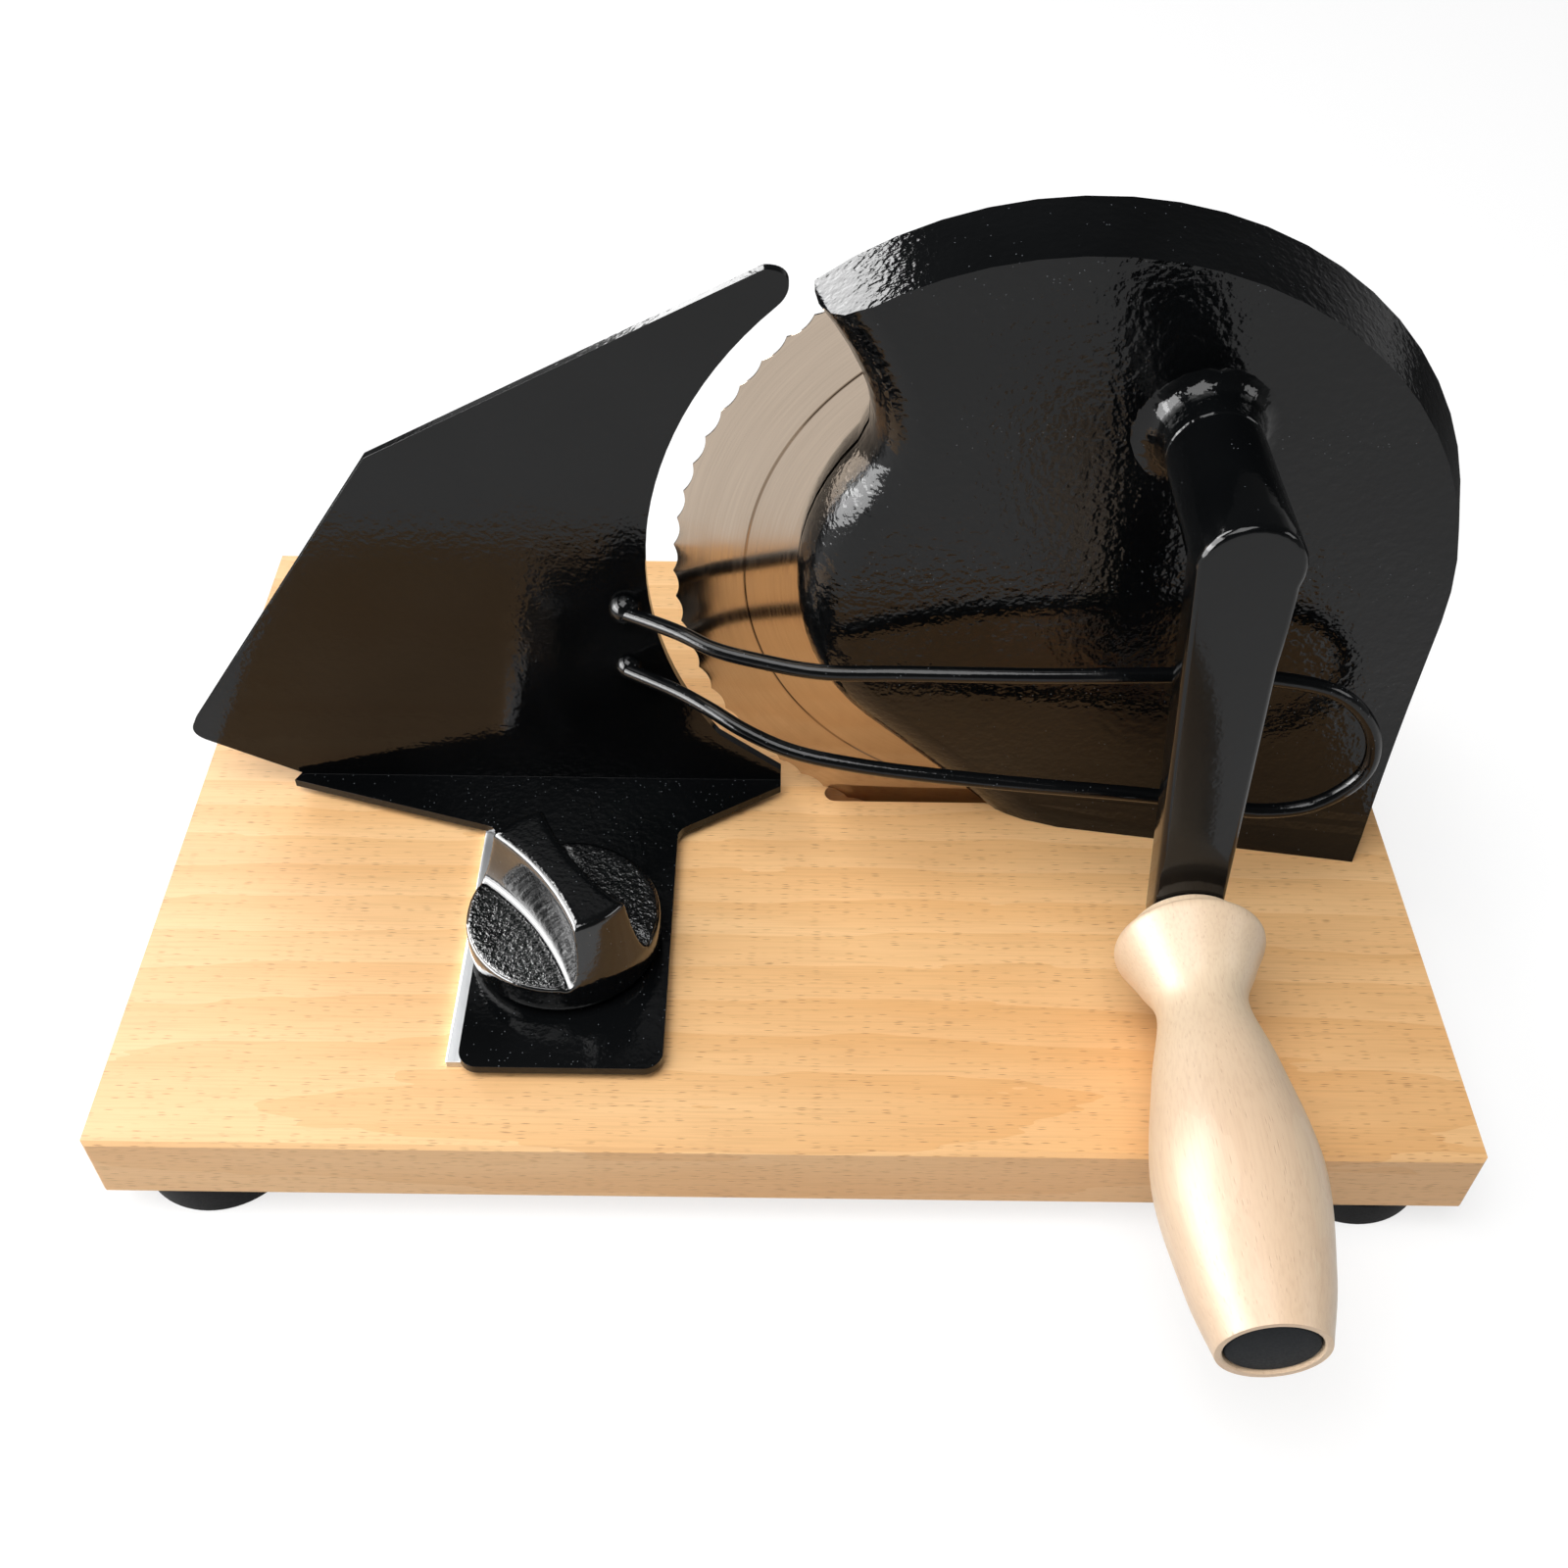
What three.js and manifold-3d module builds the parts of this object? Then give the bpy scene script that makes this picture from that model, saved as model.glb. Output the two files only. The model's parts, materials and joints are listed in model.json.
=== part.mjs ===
// Hand-cranked bread slicer: a beech board on rubber feet, a cast blade housing with a
// crank, a geared round blade, and a sliding fence with its slice guard and clamp knob.
// Millimetres, +Z up. Pieces are drawn in board coordinates: x to the right from the
// middle of the board, y backwards from its front edge, z upwards from its top face.

import * as THREE from 'three';
import { mergeVertices } from 'three/addons/utils/BufferGeometryUtils.js';
import Module from 'manifold-3d';

const wasm = await Module();
wasm.setup();

const rad = THREE.MathUtils.degToRad;

// Clearances between neighbours
const GAP = 0.3;
const RUNNING_GAP = 0.35;

// How far a cutting shape runs past the face that it opens
const PAST = 1;

// Board and feet
const BOARD_WIDTH = 338;
const BOARD_DEPTH = 227.5;
const BOARD_THICKNESS = 22;
const BOARD_CHAMFER = 1;
const FOOT_HEIGHT = 11;
const FOOT_RADIUS = 21;
const FOOT_TAPER = 0.5;
const FOOT_INSET_X = 23;
const FOOT_INSET_Y = 21.5;
const FOOT_LEDGE = 3;

// Wood screws
const FOOT_SCREW_RADIUS = 2;
const FOOT_SCREW_LENGTH = 15;
const FOOT_SCREW_HEAD_RADIUS = 4.5;
const SCREW_HEAD_HEIGHT = 2.7;
const GUIDE_SCREW_RADIUS = 1.6;
const GUIDE_SCREW_LENGTH = 13;
const HOUSING_SCREW_RADIUS = 2.2;
const HOUSING_SCREW_REACH = 8.5;
const HOUSING_SCREW_HEAD_RADIUS = 3.8;
const HOUSING_SCREW_FROM_SEAM = 39.5;
const HOUSING_SCREW_PITCH = 27.5;
const HOUSING_SCREW_FROM_BACK = 11.2;

// Blade: a scalloped disc with a ground bevel on the crank side
const BLADE_RADIUS = 95.3;
const BLADE_TEETH = 72;
const SCALLOP_DEPTH = 1.1;
const BLADE_THICKNESS = 1.2;
const BLADE_EDGE_THICKNESS = 0.5;
const BEVEL_RADIUS = 77;
const BEVEL_STEP = 0.15;
const BLADE_X = 65;
const BLADE_Z = 80.8;
const BLADE_FRONT = 119.2;
const BLADE_BACK = BLADE_FRONT + BLADE_THICKNESS;
const SLOT_WIDTH = 6.2;
const SLOT_END_CLEARANCE = 3.7;

// Housing
const RIM_RADIUS = 101.6;
const RIM_BACK = 121.2;
const RIM_RIGHT_DRAFT = 6.2;
const RIM_TOP_DRAFT = 2.2;
const WALL = 4;
const FACE_Y = 101.5;
const FACE_LEAN = 0.02;
const FACE_LEAN_Z = 80;
const FOOT_TWIST = 0.16;
const FOOT_TWIST_X = 112;
const FLARE_HEIGHT = 60;
const FOOT_SOLID = 10;
const BEAK_ANGLE = rad(127.2);
const LOBE_RADIUS = 61.2;
const LOBE_SHIFT_X = -2.6;
const LOBE_SHIFT_Z = 2;
const LOBE_START = rad(141);
const SEAM_FOOT_X = 58.5;
const SEAM_EDGE = 116.2;
const SEAM_ROUND = 13;
const SEAM_FALL = rad(-51.7);
const SEAM_FALL_LENGTH = 22;
const SEAM_LEAD_LENGTH = 9;
const SEAM_REACH = 60;
const SEAM_STEPS = 30;
const RIM_STEPS = 22;
const BLADE_SIDE_GAP = 0.8;
const BLADE_TIP_GAP = 2;

// Gear pair: the crank gear drives the blade gear
const GEAR_MODULE = 2;
const CRANK_TEETH = 28;
const BLADE_GEAR_TEETH = 36;
const GEAR_BACKLASH = 0.5;
const PRESSURE_ANGLE = rad(20);
const GEAR_WIDTH = 7.4;
const CRANK_BEARING = rad(65.8);

// Blade bearing
const AXLE_RADIUS = 5;
const AXLE_BOSS_RADIUS = 11;
const AXLE_BOSS_LENGTH = 3;
const AXLE_WALL = 1.1;
const BLADE_HUB_RADIUS = 12;
const BLADE_HUB_FLANGE_RADIUS = 24;
const BLADE_HUB_FLANGE = 2.2;
const BLADE_SPIGOT_RADIUS = 10;
const BLADE_SCREW_RADIUS = 2;
const BLADE_SCREW_CIRCLE = 17.5;
const BLADE_SCREW_COUNT = 3;
const BLADE_SCREW_HEAD = 3.6;
const AXLE_WASHER_RADIUS = 9;
const AXLE_WASHER = 1;
const AXLE_SCREW_RADIUS = 2;
const AXLE_SCREW_HEAD = 6;
const AXLE_SCREW_LENGTH = 10;

// Crank
const SHAFT_RADIUS = 5.5;
const BUSH_WALL = 2;
const BUSH_FLANGE_RADIUS = 11;
const BUSH_FLANGE = 1.5;
const BOSS_RADIUS = 11;
const BOSS_FRONT = 89;
const BOSS_FILLET = 6;
const BOSS_EDGE = 0.5;
const HUB_RADIUS = 11.5;
const HUB_FRONT = 48;
const HUB_EDGE = 1.6;
const ARM_THICKNESS = 10;
const ARM_LENGTH = 111.8;
const ARM_SWING = rad(3.8);
const ARM_NECK_WIDTH = 19;
const ARM_NECK_DROP = 26;
const NECK_START = rad(-22);
const ARM_TIP_WIDTH = 17;
const SHAFT_SEAT = 25;
const SET_SCREW_RADIUS = 2;
const SET_SCREW_FROM_JOINT = 13;
const CLIP_THICKNESS = 1.2;
const CLIP_RADIUS = 9;
const CLIP_GROOVE = 1;

// Handle
const HANDLE_LENGTH = 109.6;
const FLANGE_RADIUS = 18.2;
const FLANGE_EDGE = 1.6;
const NECK_RADIUS = 10.9;
const BELLY_RADIUS = 18.8;
const HANDLE_END_RADIUS = 11.8;
const SPINDLE_RADIUS = 4;
const SPINDLE_HEAD_RADIUS = 6.5;
const SPINDLE_HEAD = 3;
const RIVET_RADIUS = 6;
const RIVET_HEIGHT = 1.7;
const CAP_RADIUS = 10;
const CAP_DEPTH = 4.5;
const CAP_RECESS = 0.5;
const CAP_EDGE = 0.6;

// Fence
const FENCE_FRONT = 120;
const SHEET = 2.5;
const GUIDE_THICKNESS = 2.2;
const FENCE_ARC_RADIUS = 102.4;
const FENCE_ARC_TOP = rad(133);
const FENCE_ARC_BOTTOM = rad(214.5);
const FENCE_TRAVEL = 18;
const FENCE_SHOULDER_X = -104;
const FENCE_SHOULDER_Z = 113.6;
const FENCE_CORNER_X = -168.6;
const FENCE_CORNER_Z = 20.6;
const FENCE_CORNER_ROUND = 5.8;
const FENCE_NOSE = 9;
const FENCE_HEEL = 4;
const TONGUE_LEFT = -81.1;
const TONGUE_RIGHT = -30.5;
const TONGUE_FRONT = 20;
const TONGUE_CORNER = 5;
const FLANGE_DEPTH = 20;
const FLANGE_LEFT = -141;
const FLANGE_RIGHT = -2;
const FLANGE_TIP = 2.5;
const GUIDE_LEFT = -84.6;
const GUIDE_RIGHT = -33;
const GUIDE_FRONT = 23.3;
const GUIDE_BACK = 112;
const GUIDE_SCREW_FROM_END = 9;

// Clamp knob
const KNOB_X = -57.8;
const KNOB_Y = 60.4;
const KNOB_RADIUS = 25;
const KNOB_ROUND = 4;
const KNOB_SKIRT = 10.7;
const KNOB_HEIGHT = 28.5;
const KNOB_TOP_RADIUS = 21;
const BAR_ANGLE = rad(-53);
const BAR_TOP_HALF = 5.3;
const BAR_FOOT_HALF = 9.6;
const BAR_EDGE = 1.3;
const BAR_HOLLOW_RADIUS = 75;
const KNOB_EDGE = 1.6;
const KNOB_LIP = 1.4;
const COVE_GROOVE = 0.8;
const COVE_GROOVE_WIDTH = 1.2;
const STUD_RADIUS = 3;
const STUD_HEAD_RADIUS = 8;
const STUD_HEAD = 3.5;
const STUD_ENGAGEMENT = 11;
const INSERT_RADIUS = 5.5;
const INSERT_HEIGHT = 12;
const CLAMP_WASHER_RADIUS = 10;
const CLAMP_WASHER = 1;

// Slice guard wire
const WIRE_RADIUS = 2;
const WIRE_SIDES = 8;
const WIRE_STEPS = 47;
const BEAD_UPPER_RADIUS = 4.2;
const BEAD_LOWER_RADIUS = 3.4;
const BEAD_X = -43.3;
const BEAD_UPPER_Z = 68.4;
const BEAD_LOWER_Z = 48.4;

// Derived places
const gearDistance = (GEAR_MODULE * (CRANK_TEETH + BLADE_GEAR_TEETH)) / 2;
const crankX = BLADE_X + gearDistance * Math.cos(CRANK_BEARING);
const crankZ = BLADE_Z + gearDistance * Math.sin(CRANK_BEARING);
const handleX = crankX + ARM_LENGTH * Math.sin(ARM_SWING);
const handleZ = crankZ - ARM_LENGTH * Math.cos(ARM_SWING);
const handleBack = HUB_FRONT - GAP;
const handleFront = handleBack - HANDLE_LENGTH;
const boardBottom = -BOARD_THICKNESS;
const floorZ = boardBottom - FOOT_HEIGHT;
const innerFace = FACE_Y + WALL;
const axleBossEnd = innerFace + AXLE_BOSS_LENGTH;
const hubFlangeBack = BLADE_FRONT - GAP;
const hubFlangeFront = hubFlangeBack - BLADE_HUB_FLANGE;
const bladeGearBack = hubFlangeFront - GAP;
const bushFlangeFront = innerFace + GAP;
const bushFlangeBack = bushFlangeFront + BUSH_FLANGE;
const crankGearFront = bushFlangeBack + GAP;
const crankGearBack = crankGearFront + GEAR_WIDTH;
const clipFront = crankGearBack + GAP;
const clipBack = clipFront + CLIP_THICKNESS;
const bushRadius = SHAFT_RADIUS + RUNNING_GAP + BUSH_WALL;
const tongueBottom = GUIDE_THICKNESS + GAP;
const tongueTop = tongueBottom + SHEET;
const knobBottom = tongueTop + GAP;
const knobFloor = knobBottom + KNOB_SKIRT;
const knobTop = knobBottom + KNOB_HEIGHT;
const headLedge = floorZ + FOOT_HEIGHT / 2 + FOOT_LEDGE / 2;
const bladeSideFace = BLADE_FRONT - BLADE_SIDE_GAP;
const lobeX = BLADE_X + LOBE_SHIFT_X;
const lobeZ = BLADE_Z + LOBE_SHIFT_Z;

// Points shared by neighbouring pieces
const footPlaces = {
  front_left: [-BOARD_WIDTH / 2 + FOOT_INSET_X, FOOT_INSET_Y],
  front_right: [BOARD_WIDTH / 2 - FOOT_INSET_X, FOOT_INSET_Y],
  back_left: [-BOARD_WIDTH / 2 + FOOT_INSET_X, BOARD_DEPTH - FOOT_INSET_Y],
  back_right: [BOARD_WIDTH / 2 - FOOT_INSET_X, BOARD_DEPTH - FOOT_INSET_Y],
};
const housingScrewX = SEAM_FOOT_X + HOUSING_SCREW_FROM_SEAM;
const housingScrewY = RIM_BACK - HOUSING_SCREW_FROM_BACK;
const housingScrewPlaces = {
  left: [housingScrewX, housingScrewY],
  middle: [housingScrewX + HOUSING_SCREW_PITCH, housingScrewY],
  right: [housingScrewX + 2 * HOUSING_SCREW_PITCH, housingScrewY],
};
const guideMiddle = (GUIDE_LEFT + GUIDE_RIGHT) / 2;
const guideScrewPlaces = {
  front: [guideMiddle, GUIDE_FRONT + GUIDE_SCREW_FROM_END],
  back: [guideMiddle, GUIDE_BACK - GUIDE_SCREW_FROM_END],
};

// Solid helpers

function solidOf(geometry) {
  const bare = geometry.clone();
  bare.deleteAttribute('normal');
  bare.deleteAttribute('uv');
  const merged = mergeVertices(bare, 1e-4);
  const corners = merged.index.array;
  const triangles = [];
  for (let i = 0; i < corners.length; i += 3) {
    const [a, b, c] = [corners[i], corners[i + 1], corners[i + 2]];
    if (a !== b && b !== c && c !== a) {
      triangles.push(a, b, c);
    }
  }
  return new wasm.Manifold(new wasm.Mesh({
    numProp: 3,
    vertProperties: Float32Array.from(merged.attributes.position.array),
    triVerts: Uint32Array.from(triangles),
  }));
}

function geometryOf(solid) {
  const mesh = solid.getMesh();
  const places = Float32Array.from(mesh.vertProperties);
  const geometry = new THREE.BufferGeometry();
  geometry.setAttribute('position', new THREE.BufferAttribute(places, 3));
  geometry.setIndex(new THREE.BufferAttribute(Uint32Array.from(mesh.triVerts), 1));
  geometry.computeVertexNormals();
  return geometry;
}

// An outline in x and z, thickened along y
function prismY(shape, front, back, curveSegments = 12) {
  const depth = back - front;
  const geometry = new THREE.ExtrudeGeometry(shape, { depth, bevelEnabled: false, curveSegments });
  geometry.rotateX(Math.PI / 2);
  geometry.translate(0, back, 0);
  return solidOf(geometry);
}

// An outline in x and y, thickened along z
function prismZ(shape, bottom, top, curveSegments = 12) {
  const depth = top - bottom;
  const geometry = new THREE.ExtrudeGeometry(shape, { depth, bevelEnabled: false, curveSegments });
  geometry.translate(0, 0, bottom);
  return solidOf(geometry);
}

// A profile of [radius, height] pairs turned about an axis along y through (x, z)
function turnY(profile, x, z, segments = 24) {
  const points = profile.map(([radius, y]) => new THREE.Vector2(radius, y));
  const geometry = new THREE.LatheGeometry(points, segments);
  geometry.translate(x, 0, z);
  return solidOf(geometry);
}

// The same about an upright axis through (x, y)
function turnZ(profile, x, y, segments = 24) {
  const points = profile.map(([radius, z]) => new THREE.Vector2(radius, z));
  const geometry = new THREE.LatheGeometry(points, segments);
  geometry.rotateX(Math.PI / 2);
  geometry.translate(x, y, 0);
  return solidOf(geometry);
}

function rod(radius, low, high) {
  return [[0, low], [radius, low], [radius, high], [0, high]];
}

function ring(inner, outer, low, high) {
  return [[inner, low], [outer, low], [outer, high], [inner, high], [inner, low]];
}

function box(low, high) {
  const size = high.map((value, axis) => value - low[axis]);
  const geometry = new THREE.BoxGeometry(...size);
  geometry.translate(...low.map((value, axis) => value + size[axis] / 2));
  return solidOf(geometry);
}

function rectangle(x0, y0, x1, y1) {
  return new THREE.Shape([
    new THREE.Vector2(x0, y0),
    new THREE.Vector2(x1, y0),
    new THREE.Vector2(x1, y1),
    new THREE.Vector2(x0, y1),
  ]);
}

// Joins equal-length loops of points with walls, and closes the two end loops
function loft(loops) {
  const count = loops[0].length;
  const positions = loops.flat().flatMap((point) => [point.x, point.y, point.z]);
  const contour = loops[0].map((point) => new THREE.Vector2(point.x, point.z));
  const last = (loops.length - 1) * count;
  const index = [];
  for (let level = 0; level + 1 < loops.length; level += 1) {
    for (let i = 0; i < count; i += 1) {
      const a = level * count + i;
      const b = level * count + ((i + 1) % count);
      index.push(a, b + count, b, a, a + count, b + count);
    }
  }
  for (const [a, b, c] of THREE.ShapeUtils.triangulateShape(contour, [])) {
    index.push(a, b, c, last + a, last + c, last + b);
  }
  const geometry = new THREE.BufferGeometry();
  geometry.setAttribute('position', new THREE.BufferAttribute(Float32Array.from(positions), 3));
  geometry.setIndex(index);
  return solidOf(geometry);
}

// The block between a grid of surface points and the plane y = flat in front of it
function blockBefore(rows, flat) {
  const columns = rows[0].length;
  const surface = rows.flat();
  const flatPoints = surface.map((point) => new THREE.Vector3(point.x, flat, point.z));
  const positions = [...surface, ...flatPoints].flatMap((point) => [point.x, point.y, point.z]);
  const shift = surface.length;
  const index = [];
  const quad = (a, b, c, d) => index.push(a, b, c, a, c, d);
  for (let r = 0; r + 1 < rows.length; r += 1) {
    for (let c = 0; c + 1 < columns; c += 1) {
      const a = r * columns + c;
      const below = a + columns;
      quad(a, a + 1, below + 1, below);
      quad(a + shift, below + shift, below + 1 + shift, a + 1 + shift);
    }
    const left = r * columns;
    const right = left + columns - 1;
    quad(left, left + columns, left + columns + shift, left + shift);
    quad(right, right + shift, right + columns + shift, right + columns);
  }
  const bottom = (rows.length - 1) * columns;
  for (let c = 0; c + 1 < columns; c += 1) {
    quad(c, c + shift, c + 1 + shift, c + 1);
    quad(bottom + c, bottom + c + 1, bottom + c + 1 + shift, bottom + c + shift);
  }
  const geometry = new THREE.BufferGeometry();
  geometry.setAttribute('position', new THREE.BufferAttribute(Float32Array.from(positions), 3));
  geometry.setIndex(index);
  return solidOf(geometry);
}

// Gear outlines

function involute(angle) {
  return Math.tan(angle) - angle;
}

// One gear outline about (x, z), with a tooth pointing along the given direction
function gearShape(teeth, x, z, direction) {
  const pitch = (GEAR_MODULE * teeth) / 2;
  const base = pitch * Math.cos(PRESSURE_ANGLE);
  const root = pitch - 1.25 * GEAR_MODULE;
  const tip = pitch + GEAR_MODULE;
  const pitchHalf = (Math.PI * GEAR_MODULE - GEAR_BACKLASH) / (4 * pitch);
  const halfAt = (radius) => {
    const angle = Math.acos(Math.min(1, base / radius));
    return pitchHalf + involute(PRESSURE_ANGLE) - involute(angle);
  };
  const flank = [root, pitch, tip];
  const points = [];
  for (let tooth = 0; tooth < teeth; tooth += 1) {
    const middle = direction + (2 * Math.PI * tooth) / teeth;
    const rising = flank.map((radius) => [radius, middle - halfAt(radius)]);
    const falling = flank.map((radius) => [radius, middle + halfAt(radius)]).reverse();
    for (const [radius, angle] of [...rising, ...falling]) {
      points.push(new THREE.Vector2(x + radius * Math.cos(angle), z + radius * Math.sin(angle)));
    }
  }
  return new THREE.Shape(points);
}

// Housing surfaces

// Front face: leans slightly forward and twists out into a foot near the board
function faceY(x, z) {
  const flare = Math.max(0, 1 - Math.max(0, z) / FLARE_HEIGHT) ** 2;
  return FACE_Y - FACE_LEAN * (z - FACE_LEAN_Z) - FOOT_TWIST * (x - FOOT_TWIST_X) * flare;
}

// The seam runs from the beak down round the lobe and along a straight edge to the board
function seamPath() {
  const beak = onRim(BEAK_ANGLE, 0);
  const fall = new THREE.Vector2(Math.cos(SEAM_FALL), Math.sin(SEAM_FALL));
  const lobeTop = new THREE.Vector2(
    lobeX + LOBE_RADIUS * Math.cos(LOBE_START),
    lobeZ + LOBE_RADIUS * Math.sin(LOBE_START),
  );
  const lobeLead = new THREE.Vector2(Math.sin(LOBE_START), -Math.cos(LOBE_START));
  const toFoot = new THREE.Vector2(SEAM_FOOT_X - lobeX, -lobeZ);
  const lobeEnd = toFoot.angle() - Math.acos(LOBE_RADIUS / toFoot.length());
  const upper = beak.clone().addScaledVector(fall, SEAM_FALL_LENGTH);
  const lower = lobeTop.clone().addScaledVector(lobeLead, SEAM_LEAD_LENGTH);
  const path = new THREE.Path();
  path.moveTo(beak.x, beak.y);
  path.bezierCurveTo(upper.x, upper.y, lower.x, lower.y, lobeTop.x, lobeTop.y);
  path.absarc(lobeX, lobeZ, LOBE_RADIUS, LOBE_START, lobeEnd, false);
  path.lineTo(SEAM_FOOT_X, 0);
  return path;
}

// Rim circle at a draft of 0 at the back and 1 at the face
function rimCircle(draft) {
  const radius = RIM_RADIUS - (draft * (RIM_RIGHT_DRAFT + RIM_TOP_DRAFT)) / 2;
  return {
    radius,
    x: BLADE_X - (draft * (RIM_RIGHT_DRAFT - RIM_TOP_DRAFT)) / 2,
    z: BLADE_Z + (draft * (RIM_RIGHT_DRAFT - RIM_TOP_DRAFT)) / 2,
  };
}

function onRim(angle, draft, inset = 0) {
  const { radius, x, z } = rimCircle(draft);
  const reach = radius - inset;
  return new THREE.Vector2(x + reach * Math.cos(angle), z + reach * Math.sin(angle));
}

// Housing outline at one depth, counter-clockwise as seen from the crank side
function housingLoop(y, inset = 0) {
  const draft = (RIM_BACK - y) / (RIM_BACK - FACE_Y);
  const outline = seamPath().getSpacedPoints(SEAM_STEPS);
  const sideX = onRim(0, draft, inset).x;
  outline.push(new THREE.Vector2(sideX, 0));
  for (let i = 0; i < RIM_STEPS; i += 1) {
    outline.push(onRim((BEAK_ANGLE * i) / RIM_STEPS, draft, inset));
  }
  return outline.map((point) => new THREE.Vector3(point.x, y, point.y));
}

// Everything in front of the housing face, rounded over along the seam. With an inset it
// bounds the hollow behind the face and keeps a wall along the seam.
function seamBlock(inset, lift) {
  const path = seamPath();
  const reach = SEAM_REACH;
  const start = path.getPointAt(0);
  const startTangent = path.getTangentAt(0);
  const end = path.getPointAt(1);
  const endTangent = path.getTangentAt(1);
  const before = start.clone().addScaledVector(startTangent, -reach);
  const after = end.clone().addScaledVector(endTangent, reach / 2);
  const stations = [{ point: before, tangent: startTangent }];
  for (let i = 0; i <= SEAM_STEPS; i += 1) {
    const u = i / SEAM_STEPS;
    stations.push({ point: path.getPointAt(u), tangent: path.getTangentAt(u) });
  }
  stations.push({ point: after, tangent: endTangent });
  const roundSteps = [0, 0.06, 0.22, 0.5, 1];
  const outside = inset > 0 ? RIM_BACK + reach : SEAM_EDGE;
  const farX = BLADE_X + 2 * RIM_RADIUS;
  const rows = stations.map(({ point, tangent }) => {
    const normal = new THREE.Vector2(-tangent.y, tangent.x);
    const at = (distance) => point.clone().addScaledVector(normal, distance);
    const outer = at(-reach / 3);
    const row = [new THREE.Vector3(outer.x, outside, outer.y)];
    if (inset > 0) {
      const edge = at(inset);
      row.push(new THREE.Vector3(edge.x, outside, edge.y));
    }
    for (const step of roundSteps) {
      const place = at(inset + step * SEAM_ROUND);
      const rise = Math.sqrt(1 - (1 - step) ** 2);
      const face = faceY(place.x, place.y);
      row.push(new THREE.Vector3(place.x, lift + SEAM_EDGE - (SEAM_EDGE - face) * rise, place.y));
    }
    const inner = row[row.length - 1];
    row.push(new THREE.Vector3(farX, lift + faceY(farX, inner.z), inner.z));
    return row;
  });
  return blockBefore(rows, HUB_FRONT - reach);
}

// Board with the blade slot and all fastener holes
function baseBoard() {
  const half = BOARD_WIDTH / 2;
  const side = rectangle(-half, boardBottom, half, 0);
  const chamfer = BOARD_CHAMFER;
  const geometry = new THREE.ExtrudeGeometry(side, {
    depth: BOARD_DEPTH - 2 * chamfer,
    bevelEnabled: true,
    bevelSegments: 1,
    bevelSize: chamfer,
    bevelThickness: chamfer,
    bevelOffset: -chamfer,
  });
  geometry.rotateX(Math.PI / 2);
  geometry.translate(0, BOARD_DEPTH - chamfer, 0);
  let board = solidOf(geometry);
  const chord = Math.sqrt(BLADE_RADIUS ** 2 - BLADE_Z ** 2) + SLOT_END_CLEARANCE;
  const slotY = (BLADE_FRONT + BLADE_BACK) / 2;
  const slot = obround(BLADE_X - chord, BLADE_X + chord, slotY, SLOT_WIDTH);
  const under = boardBottom - PAST;
  board = board.subtract(prismZ(slot, under, PAST, 8));
  for (const [x, y] of Object.values(footPlaces)) {
    const depth = headLedge + FOOT_SCREW_LENGTH;
    board = board.subtract(turnZ(rod(FOOT_SCREW_RADIUS + GAP, under, depth), x, y, 10));
  }
  for (const [x, y] of Object.values(housingScrewPlaces)) {
    const headRoom = boardBottom + SCREW_HEAD_HEIGHT + 2 * GAP;
    const headRadius = HOUSING_SCREW_HEAD_RADIUS + GAP;
    board = board.subtract(turnZ(rod(HOUSING_SCREW_RADIUS + GAP, under, PAST), x, y, 10));
    board = board.subtract(turnZ(rod(headRadius, under, headRoom), x, y, 12));
  }
  for (const [x, y] of Object.values(guideScrewPlaces)) {
    const hole = rod(GUIDE_SCREW_RADIUS + GAP, -GUIDE_SCREW_LENGTH - GAP, PAST);
    board = board.subtract(turnZ(hole, x, y, 10));
  }
  board = board.subtract(turnZ(rod(STUD_RADIUS + GAP, under, PAST), KNOB_X, KNOB_Y, 12));
  const studRoom = boardBottom + STUD_HEAD + 2 * GAP;
  return board.subtract(turnZ(rod(STUD_HEAD_RADIUS + GAP, under, studRoom), KNOB_X, KNOB_Y, 16));
}

// A slot outline with round ends, along x
function obround(x0, x1, y, width) {
  const radius = width / 2;
  const shape = new THREE.Shape();
  shape.absarc(x1 - radius, y, radius, -Math.PI / 2, Math.PI / 2, false);
  shape.absarc(x0 + radius, y, radius, Math.PI / 2, (3 * Math.PI) / 2, false);
  return shape;
}

function rubberFoot(x, y) {
  const bore = FOOT_SCREW_RADIUS + GAP;
  const recess = FOOT_SCREW_HEAD_RADIUS + 2 * GAP;
  const top = boardBottom - GAP;
  return turnZ([
    [recess, floorZ],
    [FOOT_RADIUS - FOOT_TAPER - 1, floorZ],
    [FOOT_RADIUS - FOOT_TAPER, floorZ + 1],
    [FOOT_RADIUS, top - 1],
    [FOOT_RADIUS - 1, top],
    [bore, top],
    [bore, headLedge],
    [recess, headLedge],
    [recess, floorZ],
  ], x, y, 16);
}

// A pan-head screw standing head down, its head bearing on the ledge above it
function panScrew(x, y, ledge, headRadius, shankRadius, length) {
  const under = ledge - GAP;
  const slotHalf = 0.6;
  const screw = turnZ([
    [0, under - SCREW_HEAD_HEIGHT],
    [headRadius * 0.7, under - SCREW_HEAD_HEIGHT],
    [headRadius, under - SCREW_HEAD_HEIGHT * 0.45],
    [headRadius, under],
    [shankRadius, under],
    [shankRadius, under + length - shankRadius],
    [0, under + length],
  ], x, y, 8);
  const slotLow = under - 2 * SCREW_HEAD_HEIGHT;
  const slotHigh = under - SCREW_HEAD_HEIGHT * 0.6;
  const low = [x - headRadius, y - slotHalf, slotLow];
  const high = [x + headRadius, y + slotHalf, slotHigh];
  return screw.subtract(box(low, high));
}

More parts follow.
